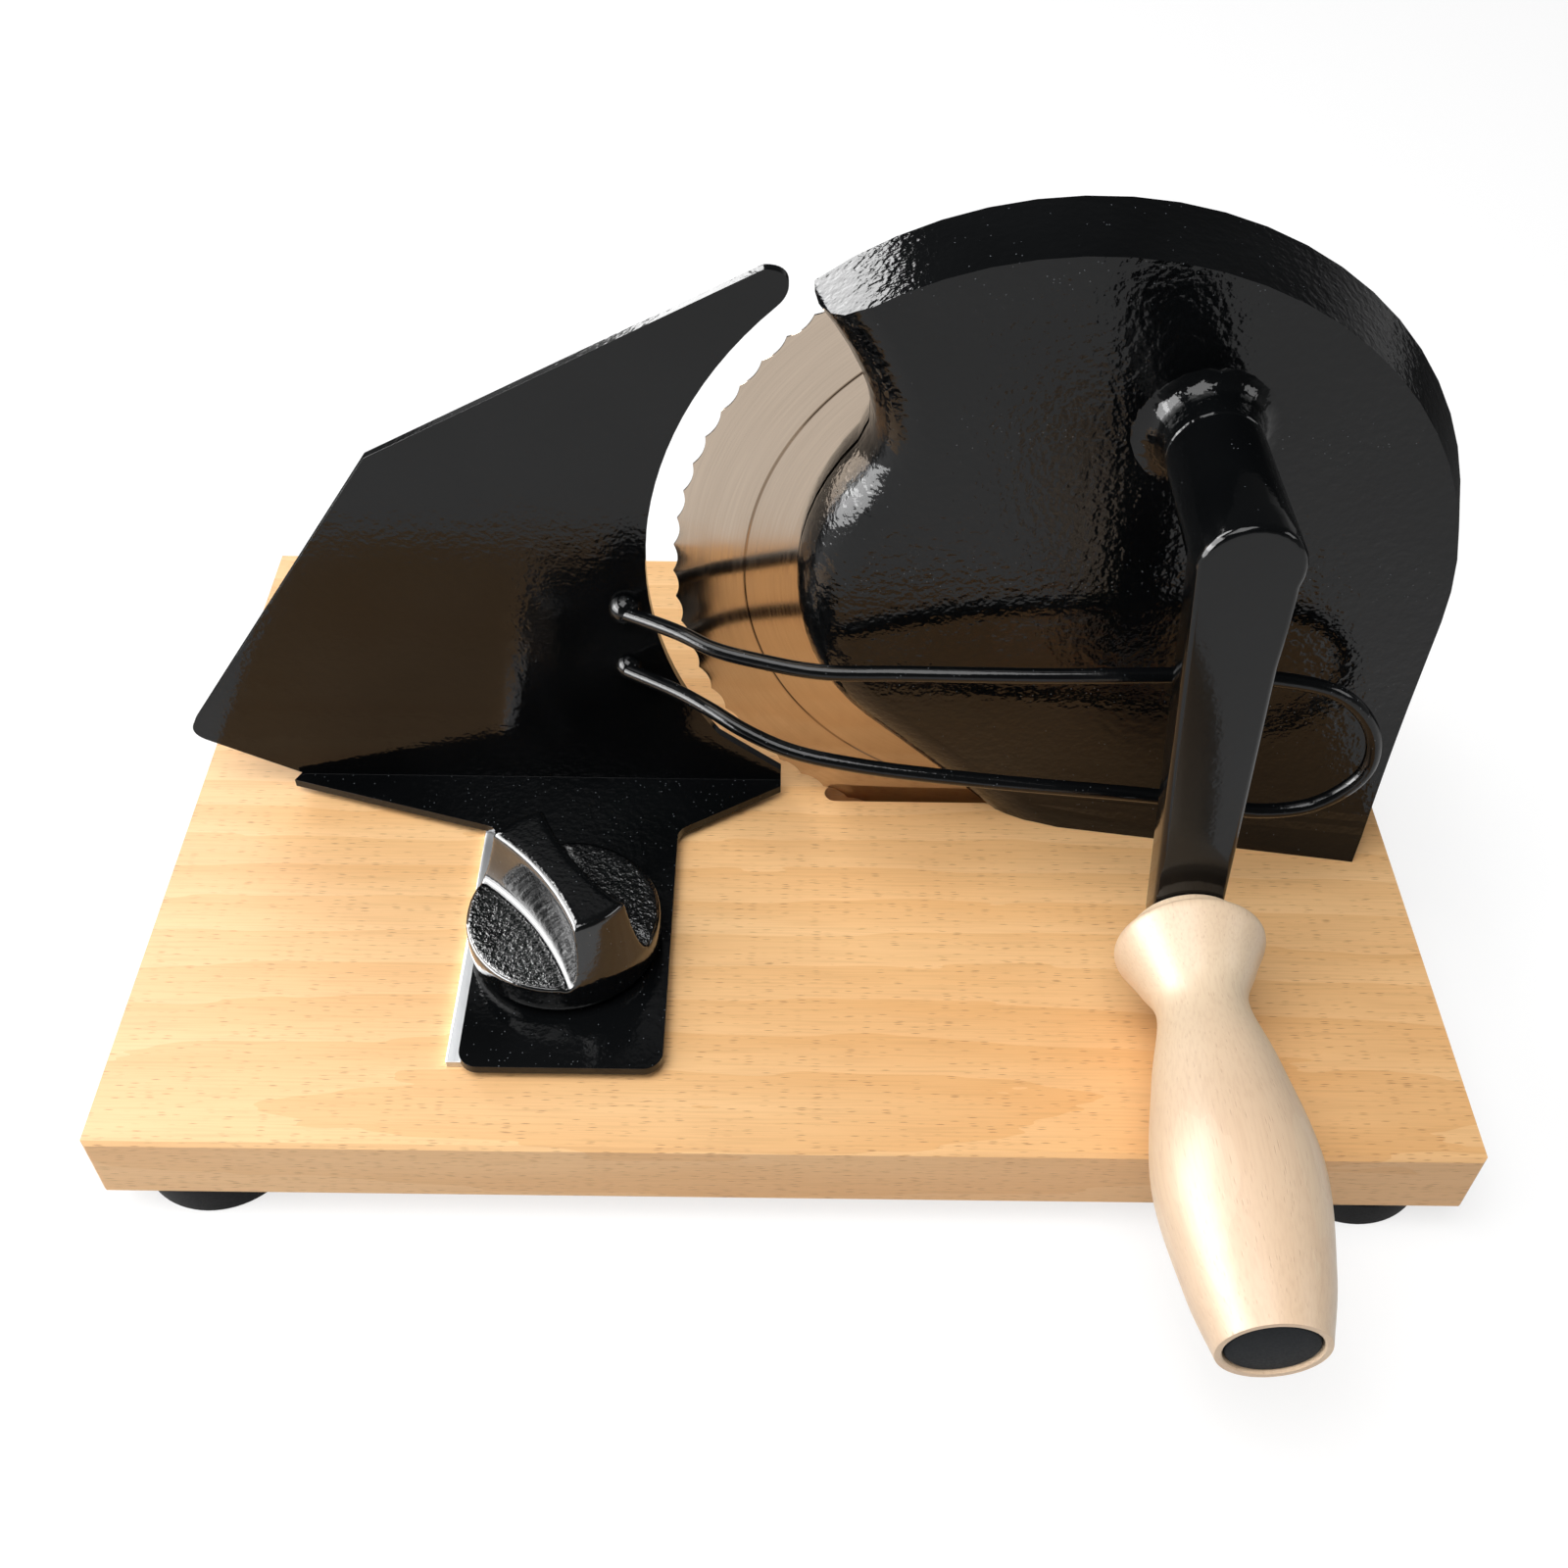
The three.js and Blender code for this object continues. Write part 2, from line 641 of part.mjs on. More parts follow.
// A countersunk screw whose head lies flush with the guide strip
function guideScrew(x, y) {
  const top = GUIDE_THICKNESS - GAP / 3;
  const screw = turnZ([
    [0, -GUIDE_SCREW_LENGTH],
    [GUIDE_SCREW_RADIUS, -GUIDE_SCREW_LENGTH + GUIDE_SCREW_RADIUS],
    [GUIDE_SCREW_RADIUS, 0],
    [GUIDE_SCREW_RADIUS + top, top],
    [0, top],
  ], x, y, 12);
  const slotHalf = 0.4;
  const slotDepth = 0.8;
  const slotReach = GUIDE_SCREW_RADIUS + GUIDE_THICKNESS;
  const low = [x - slotReach, y - slotHalf, top - slotDepth];
  const high = [x + slotReach, y + slotHalf, top + PAST];
  return screw.subtract(box(low, high));
}

// Cast housing: drafted rim, leaning face, rounded seam, hollow back, crank boss, axle boss
function housing() {
  const front = BOSS_FRONT - BOSS_FILLET;
  const behind = RIM_BACK + WALL;
  const outer = loft([housingLoop(front), housingLoop(RIM_BACK)]);
  const hollow = loft([housingLoop(front, WALL), housingLoop(behind, WALL)])
    .subtract(seamBlock(WALL + PAST, WALL))
    .subtract(box([-BOARD_WIDTH, 0, -BOARD_THICKNESS], [BOARD_WIDTH, BOARD_DEPTH, FOOT_SOLID]));
  const bladeDisc = rod(BLADE_RADIUS + BLADE_TIP_GAP, bladeSideFace, behind);
  const bladeRoom = turnY(bladeDisc, BLADE_X, BLADE_Z, 44);
  const faceAtCrank = faceY(crankX, crankZ);
  const boss = turnY(bossProfile(faceAtCrank), crankX, crankZ, 24);
  const axleBossRod = rod(AXLE_BOSS_RADIUS, FACE_Y + WALL / 2, axleBossEnd);
  const axleBoss = turnY(axleBossRod, BLADE_X, BLADE_Z, 16);
  const bushBore = turnY(rod(bushRadius + GAP, front - PAST, RIM_BACK), crankX, crankZ, 16);
  const axleRoom = rod(AXLE_RADIUS + GAP, FACE_Y + AXLE_WALL, RIM_BACK);
  const axleBore = turnY(axleRoom, BLADE_X, BLADE_Z, 16);
  let casting = outer.subtract(seamBlock(0, 0)).subtract(hollow).subtract(bladeRoom);
  casting = casting.add(boss).add(axleBoss).subtract(bushBore).subtract(axleBore);
  for (const [x, y] of Object.values(housingScrewPlaces)) {
    const hole = rod(HOUSING_SCREW_RADIUS + GAP, -PAST, HOUSING_SCREW_REACH + GAP);
    casting = casting.subtract(turnZ(hole, x, y, 12));
  }
  return casting;
}

// Crank boss: a round nose that flares into the face with a fillet
function bossProfile(face) {
  const profile = [
    [0, BOSS_FRONT],
    [BOSS_RADIUS - BOSS_EDGE, BOSS_FRONT],
    [BOSS_RADIUS, BOSS_FRONT + BOSS_EDGE],
  ];
  const steps = 5;
  for (let i = 0; i <= steps; i += 1) {
    const angle = (Math.PI / 2) * (i / steps);
    const radius = BOSS_RADIUS + BOSS_FILLET * (1 - Math.cos(angle));
    profile.push([radius, face - BOSS_FILLET + BOSS_FILLET * Math.sin(angle)]);
  }
  profile.push([BOSS_RADIUS + BOSS_FILLET, face + WALL / 2], [0, face + WALL / 2]);
  return profile;
}

// Flanged bearing bush in the crank boss
function crankBush() {
  const bore = SHAFT_RADIUS + RUNNING_GAP;
  return turnY([
    [bore, BOSS_FRONT + GAP],
    [bushRadius, BOSS_FRONT + GAP],
    [bushRadius, bushFlangeFront],
    [BUSH_FLANGE_RADIUS, bushFlangeFront],
    [BUSH_FLANGE_RADIUS, bushFlangeBack],
    [bore, bushFlangeBack],
    [bore, BOSS_FRONT + GAP],
  ], crankX, crankZ, 16);
}

// Fixed pin that the blade turns on, tapped at its back end
function bladeAxle() {
  const end = BLADE_BACK - GAP;
  const start = FACE_Y + AXLE_WALL + GAP;
  const hole = rod(AXLE_SCREW_RADIUS + GAP, end - AXLE_SCREW_LENGTH, end + PAST);
  const pin = turnY(rod(AXLE_RADIUS, start, end), BLADE_X, BLADE_Z, 16);
  return pin.subtract(turnY(hole, BLADE_X, BLADE_Z, 12));
}

function axleWasher() {
  const low = BLADE_BACK + GAP;
  const section = ring(AXLE_SCREW_RADIUS + GAP, AXLE_WASHER_RADIUS, low, low + AXLE_WASHER);
  return turnY(section, BLADE_X, BLADE_Z, 16);
}

// Cross-slotted cap screw that keeps the blade on its axle
function axleScrew() {
  const seat = BLADE_BACK + AXLE_WASHER + 2 * GAP;
  const top = seat + SCREW_HEAD_HEIGHT;
  const screw = turnY([
    [0, seat - AXLE_SCREW_LENGTH],
    [AXLE_SCREW_RADIUS, seat - AXLE_SCREW_LENGTH],
    [AXLE_SCREW_RADIUS, seat],
    [AXLE_SCREW_HEAD, seat],
    [AXLE_SCREW_HEAD, top - 1],
    [AXLE_SCREW_HEAD - 1, top],
    [0, top],
  ], BLADE_X, BLADE_Z, 16);
  const slotHalf = 0.6;
  const low = [BLADE_X - AXLE_SCREW_HEAD, top - 1.2, BLADE_Z - slotHalf];
  const high = [BLADE_X + AXLE_SCREW_HEAD, top + PAST, BLADE_Z + slotHalf];
  return screw.subtract(box(low, high));
}

// Round blade with scalloped teeth, a ground bevel and its hub and screw holes
function blade() {
  const hole = BLADE_SPIGOT_RADIUS + GAP;
  const blank = turnY([
    [hole, BLADE_FRONT],
    [BEVEL_RADIUS, BLADE_FRONT],
    [BEVEL_RADIUS + 2 * BEVEL_STEP, BLADE_FRONT + BEVEL_STEP],
    [BLADE_RADIUS + PAST, BLADE_BACK - BLADE_EDGE_THICKNESS],
    [BLADE_RADIUS + PAST, BLADE_BACK],
    [hole, BLADE_BACK],
    [hole, BLADE_FRONT],
  ], BLADE_X, BLADE_Z, 40);
  const stepsPerTooth = 3;
  const points = [];
  for (let i = 0; i < BLADE_TEETH * stepsPerTooth; i += 1) {
    const along = (i % stepsPerTooth) / stepsPerTooth;
    const angle = (2 * Math.PI * i) / (BLADE_TEETH * stepsPerTooth);
    const radius = BLADE_RADIUS - SCALLOP_DEPTH * 4 * along * (1 - along);
    const x = BLADE_X + radius * Math.cos(angle);
    const z = BLADE_Z + radius * Math.sin(angle);
    points.push(new THREE.Vector2(x, z));
  }
  const before = BLADE_FRONT - PAST;
  const behind = BLADE_BACK + PAST;
  let disc = blank.intersect(prismY(new THREE.Shape(points), before, behind));
  for (const [x, z] of bladeScrewPlaces()) {
    disc = disc.subtract(turnY(rod(BLADE_SCREW_RADIUS + GAP, before, behind), x, z, 12));
  }
  return disc;
}

function bladeScrewPlaces() {
  const places = [];
  for (let i = 0; i < BLADE_SCREW_COUNT; i += 1) {
    const angle = Math.PI / 2 + (2 * Math.PI * i) / BLADE_SCREW_COUNT;
    places.push([
      BLADE_X + BLADE_SCREW_CIRCLE * Math.cos(angle),
      BLADE_Z + BLADE_SCREW_CIRCLE * Math.sin(angle),
    ]);
  }
  return places;
}

// Sleeve that carries the blade gear, with a flange and spigot for the blade
function bladeHub() {
  const bore = AXLE_RADIUS + RUNNING_GAP;
  const spigotEnd = BLADE_BACK - GAP;
  let hub = turnY([
    [bore, axleBossEnd + GAP],
    [BLADE_HUB_RADIUS, axleBossEnd + GAP],
    [BLADE_HUB_RADIUS, hubFlangeFront],
    [BLADE_HUB_FLANGE_RADIUS, hubFlangeFront],
    [BLADE_HUB_FLANGE_RADIUS, hubFlangeBack],
    [BLADE_SPIGOT_RADIUS, hubFlangeBack],
    [BLADE_SPIGOT_RADIUS, spigotEnd],
    [bore, spigotEnd],
    [bore, axleBossEnd + GAP],
  ], BLADE_X, BLADE_Z, 16);
  for (const [x, z] of bladeScrewPlaces()) {
    const hole = rod(BLADE_SCREW_RADIUS + GAP, hubFlangeFront - PAST, hubFlangeBack + PAST);
    hub = hub.subtract(turnY(hole, x, z, 12));
  }
  return hub;
}

function bladeScrew(x, z) {
  const seat = BLADE_BACK + GAP;
  const top = seat + BLADE_SCREW_RADIUS;
  const screw = turnY([
    [0, hubFlangeFront],
    [BLADE_SCREW_RADIUS, hubFlangeFront],
    [BLADE_SCREW_RADIUS, seat],
    [BLADE_SCREW_HEAD, seat],
    [BLADE_SCREW_HEAD, seat + 0.8],
    [BLADE_SCREW_HEAD * 0.6, top],
    [0, top],
  ], x, z, 10);
  const slotHalf = 0.45;
  const low = [x - BLADE_SCREW_HEAD, top - BLADE_SCREW_RADIUS / 2, z - slotHalf];
  const high = [x + BLADE_SCREW_HEAD, top + PAST, z + slotHalf];
  return screw.subtract(box(low, high));
}

function bladeGear() {
  const towardsCrank = CRANK_BEARING;
  const direction = towardsCrank + Math.PI / BLADE_GEAR_TEETH;
  const shape = gearShape(BLADE_GEAR_TEETH, BLADE_X, BLADE_Z, direction);
  const bore = turnY(rod(BLADE_HUB_RADIUS + GAP, 0, BOARD_DEPTH), BLADE_X, BLADE_Z, 20);
  return prismY(shape, bladeGearBack - GEAR_WIDTH, bladeGearBack).subtract(bore);
}

function crankGear() {
  const shape = gearShape(CRANK_TEETH, crankX, crankZ, CRANK_BEARING + Math.PI);
  const bore = turnY(rod(SHAFT_RADIUS + GAP, 0, BOARD_DEPTH), crankX, crankZ, 16);
  return prismY(shape, crankGearFront, crankGearBack).subtract(bore);
}

// Shaft with a clip groove behind the gear
function crankShaft() {
  const grooveRadius = SHAFT_RADIUS - CLIP_GROOVE;
  return turnY([
    [0, BOSS_FRONT - SHAFT_SEAT],
    [SHAFT_RADIUS, BOSS_FRONT - SHAFT_SEAT],
    [SHAFT_RADIUS, clipFront - GAP / 2],
    [grooveRadius, clipFront - GAP / 2],
    [grooveRadius, clipBack + GAP / 2],
    [SHAFT_RADIUS, clipBack + GAP / 2],
    [SHAFT_RADIUS, clipBack + GAP],
    [0, clipBack + GAP],
  ], crankX, crankZ, 16);
}

// Open retaining clip in the shaft groove
function shaftClip() {
  const inner = SHAFT_RADIUS - CLIP_GROOVE + GAP;
  const washer = turnY(ring(inner, CLIP_RADIUS, clipFront, clipBack), crankX, crankZ, 16);
  const low = [crankX - inner * 0.8, clipFront - PAST, crankZ];
  const high = [crankX + inner * 0.8, clipBack + PAST, crankZ + 2 * CLIP_RADIUS];
  return washer.subtract(box(low, high));
}

// Cast hub and tapered arm, drawn hanging straight down and then swung
function armOutline() {
  const shape = new THREE.Shape();
  const side = ARM_TIP_WIDTH / 2;
  shape.absarc(0, 0, HUB_RADIUS, NECK_START, rad(188), false);
  shape.lineTo(-side, -ARM_LENGTH);
  shape.absarc(0, -ARM_LENGTH, side, Math.PI, 2 * Math.PI, false);
  shape.lineTo(ARM_NECK_WIDTH / 2, -ARM_NECK_DROP);
  const turn = new THREE.Vector2(ARM_NECK_WIDTH / 2 + 1, -ARM_NECK_DROP / 2);
  const neck = new THREE.Vector2(HUB_RADIUS * Math.cos(NECK_START), HUB_RADIUS * Math.sin(NECK_START));
  shape.quadraticCurveTo(turn.x, turn.y, neck.x, neck.y);
  return shape;
}

function crankArm() {
  const edge = HUB_EDGE;
  const geometry = new THREE.ExtrudeGeometry(armOutline(), {
    depth: ARM_THICKNESS - 2 * edge,
    bevelEnabled: true,
    bevelSegments: 2,
    bevelSize: edge,
    bevelThickness: edge,
    bevelOffset: -edge,
    curveSegments: 8,
  });
  geometry.rotateX(Math.PI / 2);
  geometry.translate(0, HUB_FRONT + ARM_THICKNESS - edge, 0);
  const hub = turnY([
    [0, HUB_FRONT + edge],
    [HUB_RADIUS, HUB_FRONT + edge],
    [BOSS_RADIUS, BOSS_FRONT - GAP],
    [0, BOSS_FRONT - GAP],
  ], 0, 0, 24);
  const shaftEnd = BOSS_FRONT - SHAFT_SEAT - GAP;
  const shaftBore = turnY(rod(SHAFT_RADIUS + GAP, shaftEnd, BOSS_FRONT + PAST), 0, 0, 16);
  const spindleBore = turnY(rod(SPINDLE_RADIUS + GAP, 0, BOARD_DEPTH), 0, -ARM_LENGTH, 16);
  const screwY = BOSS_FRONT - SET_SCREW_FROM_JOINT;
  const screwHole = turnZ(rod(SET_SCREW_RADIUS + GAP, -2 * HUB_RADIUS, 0), 0, screwY, 12);
  return solidOf(geometry)
    .add(hub)
    .subtract(shaftBore)
    .subtract(spindleBore)
    .subtract(screwHole);
}

// Set screw through the hub from below, against the shaft
function setScrew() {
  const low = -(HUB_RADIUS - 0.8);
  const high = -(SHAFT_RADIUS + GAP);
  const y = BOSS_FRONT - SET_SCREW_FROM_JOINT;
  const screw = turnZ(rod(SET_SCREW_RADIUS, low, high), 0, y, 12);
  const slotHalf = 0.4;
  const slotLow = [-SET_SCREW_RADIUS, y - slotHalf, low - PAST];
  const slotHigh = [SET_SCREW_RADIUS, y + slotHalf, low + SET_SCREW_RADIUS / 2];
  return screw.subtract(box(slotLow, slotHigh));
}

// Handle spindle: riveted behind the arm, with a head inside the end of the grip
function handleSpindle() {
  const headSeat = capFloor() - SPINDLE_HEAD;
  const armBack = HUB_FRONT + ARM_THICKNESS + GAP;
  return turnY([
    [0, headSeat],
    [SPINDLE_HEAD_RADIUS, headSeat],
    [SPINDLE_HEAD_RADIUS, headSeat + SPINDLE_HEAD - GAP],
    [SPINDLE_RADIUS, headSeat + SPINDLE_HEAD - GAP],
    [SPINDLE_RADIUS, armBack],
    [RIVET_RADIUS, armBack],
    [RIVET_RADIUS * 0.7, armBack + RIVET_HEIGHT],
    [0, armBack + RIVET_HEIGHT],
  ], 0, -ARM_LENGTH, 16);
}

// Bottom of the recess in the end of the grip, which holds the spindle head and the cap
function capFloor() {
  return handleFront + CAP_RECESS + CAP_DEPTH + GAP + SPINDLE_HEAD;
}

// Turned grip: a bead at the arm, a slim neck, a full belly and a flat end
function handleGrip() {
  const back = handleBack;
  const along = (share) => back - share * HANDLE_LENGTH;
  const outline = new THREE.SplineCurve([
    new THREE.Vector2(HANDLE_END_RADIUS, along(1)),
    new THREE.Vector2(HANDLE_END_RADIUS + 0.6, along(0.985)),
    new THREE.Vector2(HANDLE_END_RADIUS * 0.42 + BELLY_RADIUS * 0.58, along(0.86)),
    new THREE.Vector2(BELLY_RADIUS, along(0.64)),
    new THREE.Vector2((BELLY_RADIUS + NECK_RADIUS) / 2, along(0.4)),
    new THREE.Vector2(NECK_RADIUS, along(0.23)),
    new THREE.Vector2((FLANGE_RADIUS + NECK_RADIUS) / 2, along(0.133)),
    new THREE.Vector2(FLANGE_RADIUS, along(0.05)),
    new THREE.Vector2(FLANGE_RADIUS - FLANGE_EDGE / 4, along(0.015)),
    new THREE.Vector2(FLANGE_RADIUS - FLANGE_EDGE, along(0)),
  ]);
  const bore = SPINDLE_RADIUS + RUNNING_GAP;
  const recess = CAP_RADIUS + GAP;
  const profile = outline.getPoints(20).map((point) => [point.x, Math.max(point.y, handleFront)]);
  profile.push([bore, back], [bore, capFloor()], [recess, capFloor()]);
  profile.push([recess, handleFront], profile[0]);
  return turnY(profile, handleX, handleZ, 20);
}

function handleCap() {
  const low = handleFront + CAP_RECESS;
  return turnY([
    [0, low],
    [CAP_RADIUS - CAP_EDGE, low],
    [CAP_RADIUS, low + CAP_EDGE],
    [CAP_RADIUS, low + CAP_DEPTH],
    [0, low + CAP_DEPTH],
  ], handleX, handleZ, 20);
}

// Fence: an upright plate with an arc round the blade, folded into a flange and a tongue
function fencePlate() {
  const arcEnd = (angle) => [
    BLADE_X + FENCE_ARC_RADIUS * Math.cos(angle),
    BLADE_Z + FENCE_ARC_RADIUS * Math.sin(angle),
  ];
  const [tipX, tipZ] = arcEnd(FENCE_ARC_TOP);
  const [heelX, heelZ] = arcEnd(FENCE_ARC_BOTTOM);
  const noseX = tipX + FENCE_NOSE * 0.45;
  const corner = new THREE.Vector2(FENCE_CORNER_X, FENCE_CORNER_Z);
  const shoulder = new THREE.Vector2(FENCE_SHOULDER_X, FENCE_SHOULDER_Z);
  const heel = new THREE.Vector2(FLANGE_LEFT + FLANGE_TIP, tongueTop);
  const towards = (end) => end.clone().sub(corner).setLength(FENCE_CORNER_ROUND).add(corner);
  const cornerTop = towards(shoulder);
  const cornerEnd = towards(heel);
  const plate = new THREE.Shape();
  plate.moveTo(heel.x, tongueBottom);
  plate.lineTo(FLANGE_RIGHT, tongueBottom);
  plate.lineTo(FLANGE_RIGHT, tongueTop + FENCE_HEEL);
  plate.lineTo(heelX, heelZ);
  plate.absarc(BLADE_X, BLADE_Z, FENCE_ARC_RADIUS, FENCE_ARC_BOTTOM, FENCE_ARC_TOP, true);
  plate.bezierCurveTo(
    noseX,
    tipZ + FENCE_NOSE * 0.4,
    noseX,
    tipZ + FENCE_NOSE * 1.05,
    tipX - FENCE_NOSE / 3,
    tipZ + FENCE_NOSE,
  );
  plate.lineTo(shoulder.x, shoulder.y);
  plate.lineTo(cornerTop.x, cornerTop.y);
  plate.quadraticCurveTo(corner.x, corner.y, cornerEnd.x, cornerEnd.y);
  plate.lineTo(heel.x, heel.y);
  const upright = prismY(plate, FENCE_FRONT, FENCE_FRONT + SHEET, 14);

  const neckY = FENCE_FRONT - FLANGE_DEPTH;
  const foot = new THREE.Shape();
  foot.moveTo(heel.x, FENCE_FRONT + SHEET);
  foot.lineTo(FLANGE_LEFT, FENCE_FRONT - FLANGE_TIP);
  foot.lineTo(TONGUE_LEFT - 3, neckY + 0.8);
  foot.quadraticCurveTo(TONGUE_LEFT, neckY, TONGUE_LEFT, neckY - 3);
  const round = TONGUE_CORNER;
  const cornerY = TONGUE_FRONT + round;
  foot.absarc(TONGUE_LEFT + round, cornerY, round, Math.PI, 1.5 * Math.PI, false);
  foot.absarc(TONGUE_RIGHT - round, cornerY, round, 1.5 * Math.PI, 2 * Math.PI, false);
  foot.lineTo(TONGUE_RIGHT, neckY - 3);
  foot.quadraticCurveTo(TONGUE_RIGHT, neckY, TONGUE_RIGHT + 2.4, neckY + 1.4);
  foot.lineTo(FLANGE_RIGHT, FENCE_FRONT - FLANGE_TIP);
  foot.lineTo(FLANGE_RIGHT, FENCE_FRONT + SHEET);
  const slot = new THREE.Path();
  const slotRadius = STUD_RADIUS + 2 * GAP;
  slot.absarc(KNOB_X, KNOB_Y, slotRadius, Math.PI, 2 * Math.PI, false);
  slot.absarc(KNOB_X, KNOB_Y + FENCE_TRAVEL, slotRadius, 0, Math.PI, false);
  foot.holes.push(slot);
  return upright.add(prismZ(foot, tongueBottom, tongueTop, 6));
}

// Slice guard: one bent wire hairpin whose weld beads sit on the fence plate
function sliceGuard() {
  const weldY = FENCE_FRONT - GAP - WIRE_RADIUS;
  const route = [
    [BEAD_X, weldY, BEAD_UPPER_Z],
    [-29, 108.5, 70],
    [-19.5, 103, 69.2],
    [-8, 99, 69],
    [7.5, 95, 69.2],
    [28.5, 91.5, 72.2],
    [60, 88.5, 74.7],
    [118, 88.2, 75.1],
    [136.3, 87.8, 70],
    [146.7, 87.2, 57.6],
    [147.7, 86.4, 45],
    [138.3, 85.6, 34.4],
    [124, 85.2, 31.4],
    [100, 85, 36],
    [50, 85.5, 41],
    [18, 87.5, 43.8],
    [0, 91, 45.5],
    [-12, 96, 47.8],
    [-21, 102, 49.4],
    [-30, 109, 49.2],
    [BEAD_X, weldY, BEAD_LOWER_Z],
  ].map(([x, y, z]) => new THREE.Vector3(x, y, z));
  const section = new THREE.Shape();
  for (let i = 0; i < WIRE_SIDES; i += 1) {
    const angle = (2 * Math.PI * i) / WIRE_SIDES;
    const point = [WIRE_RADIUS * Math.cos(angle), WIRE_RADIUS * Math.sin(angle)];
    if (i === 0) {
      section.moveTo(...point);
    } else {
      section.lineTo(...point);
    }
  }
  const extrudePath = new THREE.CatmullRomCurve3(route, false, 'centripetal');
  const wire = new THREE.ExtrudeGeometry(section, { extrudePath, steps: WIRE_STEPS });
  return solidOf(wire)
    .add(weldBead(BEAD_UPPER_RADIUS, BEAD_UPPER_Z))
    .add(weldBead(BEAD_LOWER_RADIUS, BEAD_LOWER_Z));
}

// A domed weld bead against the front of the fence plate
function weldBead(radius, z) {
  const seat = FENCE_FRONT - GAP;
  const profile = [[0, seat - radius]];
  const steps = 3;
  for (let i = 1; i <= steps; i += 1) {
    const angle = (Math.PI / 2) * (i / steps);
    profile.push([radius * Math.sin(angle), seat - radius * Math.cos(angle)]);
  }
  profile.push([0, seat]);
  return turnY(profile, BEAD_X, z, 8);
}

// Steel strip that the tongue slides on
function guideStrip() {
  const outline = rectangle(GUIDE_LEFT, GUIDE_FRONT, GUIDE_RIGHT, GUIDE_BACK);
  const above = GUIDE_THICKNESS + PAST;
  const hole = GUIDE_SCREW_RADIUS + GAP;
  let strip = prismZ(outline, GAP / 3, GUIDE_THICKNESS);
  for (const [x, y] of Object.values(guideScrewPlaces)) {
    strip = strip.subtract(turnZ([
      [0, -PAST],
      [hole, -PAST],
      [hole, 0],
      [hole + above, above],
      [0, above],
    ], x, y, 12));
  }
  return strip.subtract(turnZ(rod(STUD_RADIUS + GAP, -PAST, above), KNOB_X, KNOB_Y, 12));
}

// Round-head bolt up through the board; the knob screws down on it
function clampStud() {
  const headTop = boardBottom + STUD_HEAD + GAP;
  return turnZ([
    [0, boardBottom + GAP],
    [STUD_HEAD_RADIUS * 0.75, boardBottom + GAP],
    [STUD_HEAD_RADIUS, headTop - 1],
    [STUD_HEAD_RADIUS, headTop],
    [STUD_RADIUS, headTop],
    [STUD_RADIUS, knobBottom + STUD_ENGAGEMENT],
    [0, knobBottom + STUD_ENGAGEMENT],
  ], KNOB_X, KNOB_Y, 16);
}

function clampWasher() {
  const top = knobBottom + CLAMP_WASHER;
  return turnZ(ring(STUD_RADIUS + GAP, CLAMP_WASHER_RADIUS, knobBottom, top), KNOB_X, KNOB_Y, 16);
}

// Cast knob about an upright axis: a round skirt and a grip bar with a cove along each side
function clampKnob() {
  const washerRoom = knobBottom + CLAMP_WASHER + GAP;
  const insertRoom = washerRoom + INSERT_HEIGHT + 2 * GAP;
  const under = knobBottom - PAST;
  const body = turnZ([
    [0, knobBottom],
    [KNOB_RADIUS - KNOB_ROUND, knobBottom],
    [KNOB_RADIUS - KNOB_ROUND * 0.3, knobBottom + KNOB_ROUND * 0.5],
    [KNOB_RADIUS, knobBottom + KNOB_ROUND * 1.4],
    [KNOB_RADIUS, knobFloor],
    [KNOB_TOP_RADIUS, knobTop - KNOB_EDGE],
    [KNOB_TOP_RADIUS - KNOB_EDGE * 0.3, knobTop - KNOB_EDGE * 0.3],
    [KNOB_TOP_RADIUS - KNOB_EDGE, knobTop],
    [0, knobTop],
  ], 0, 0, 32);
  return body
    .subtract(knobCove(0))
    .subtract(knobCove(Math.PI))
    .subtract(knobLip())
    .subtract(turnZ(rod(CLAMP_WASHER_RADIUS + GAP, under, washerRoom), 0, 0, 16))
    .subtract(turnZ(rod(INSERT_RADIUS + GAP, under, insertRoom), 0, 0, 12));
}

// What is cut away beside the bar: a flat floor, a groove along its foot, a hollow wall and
// a rounded top edge, bowed so that the bar is slimmest in the middle
function knobCove(turn) {
  const reach = 2 * KNOB_RADIUS;
  const crest = BAR_TOP_HALF - BAR_EDGE;
  const cove = new THREE.Shape();
  cove.moveTo(reach, knobFloor);
  cove.lineTo(reach, knobTop + PAST);
  cove.lineTo(crest, knobTop + PAST);
  cove.lineTo(crest, knobTop);
  cove.quadraticCurveTo(BAR_TOP_HALF, knobTop, BAR_TOP_HALF, knobTop - BAR_EDGE);
  cove.quadraticCurveTo(BAR_TOP_HALF, knobFloor, BAR_FOOT_HALF, knobFloor - COVE_GROOVE);
  cove.lineTo(BAR_FOOT_HALF + COVE_GROOVE_WIDTH, knobFloor);
  const geometry = new THREE.ExtrudeGeometry(cove, {
    depth: reach,
    steps: 6,
    bevelEnabled: false,
    curveSegments: 4,
  });
  geometry.rotateX(Math.PI / 2);
  geometry.translate(0, reach / 2, 0);
  const place = geometry.attributes.position;
  for (let i = 0; i < place.count; i += 1) {
    const bow = place.getY(i) ** 2 / (2 * BAR_HOLLOW_RADIUS);
    place.setX(i, place.getX(i) + bow);
  }
  geometry.rotateZ(turn);
  return solidOf(geometry);
}

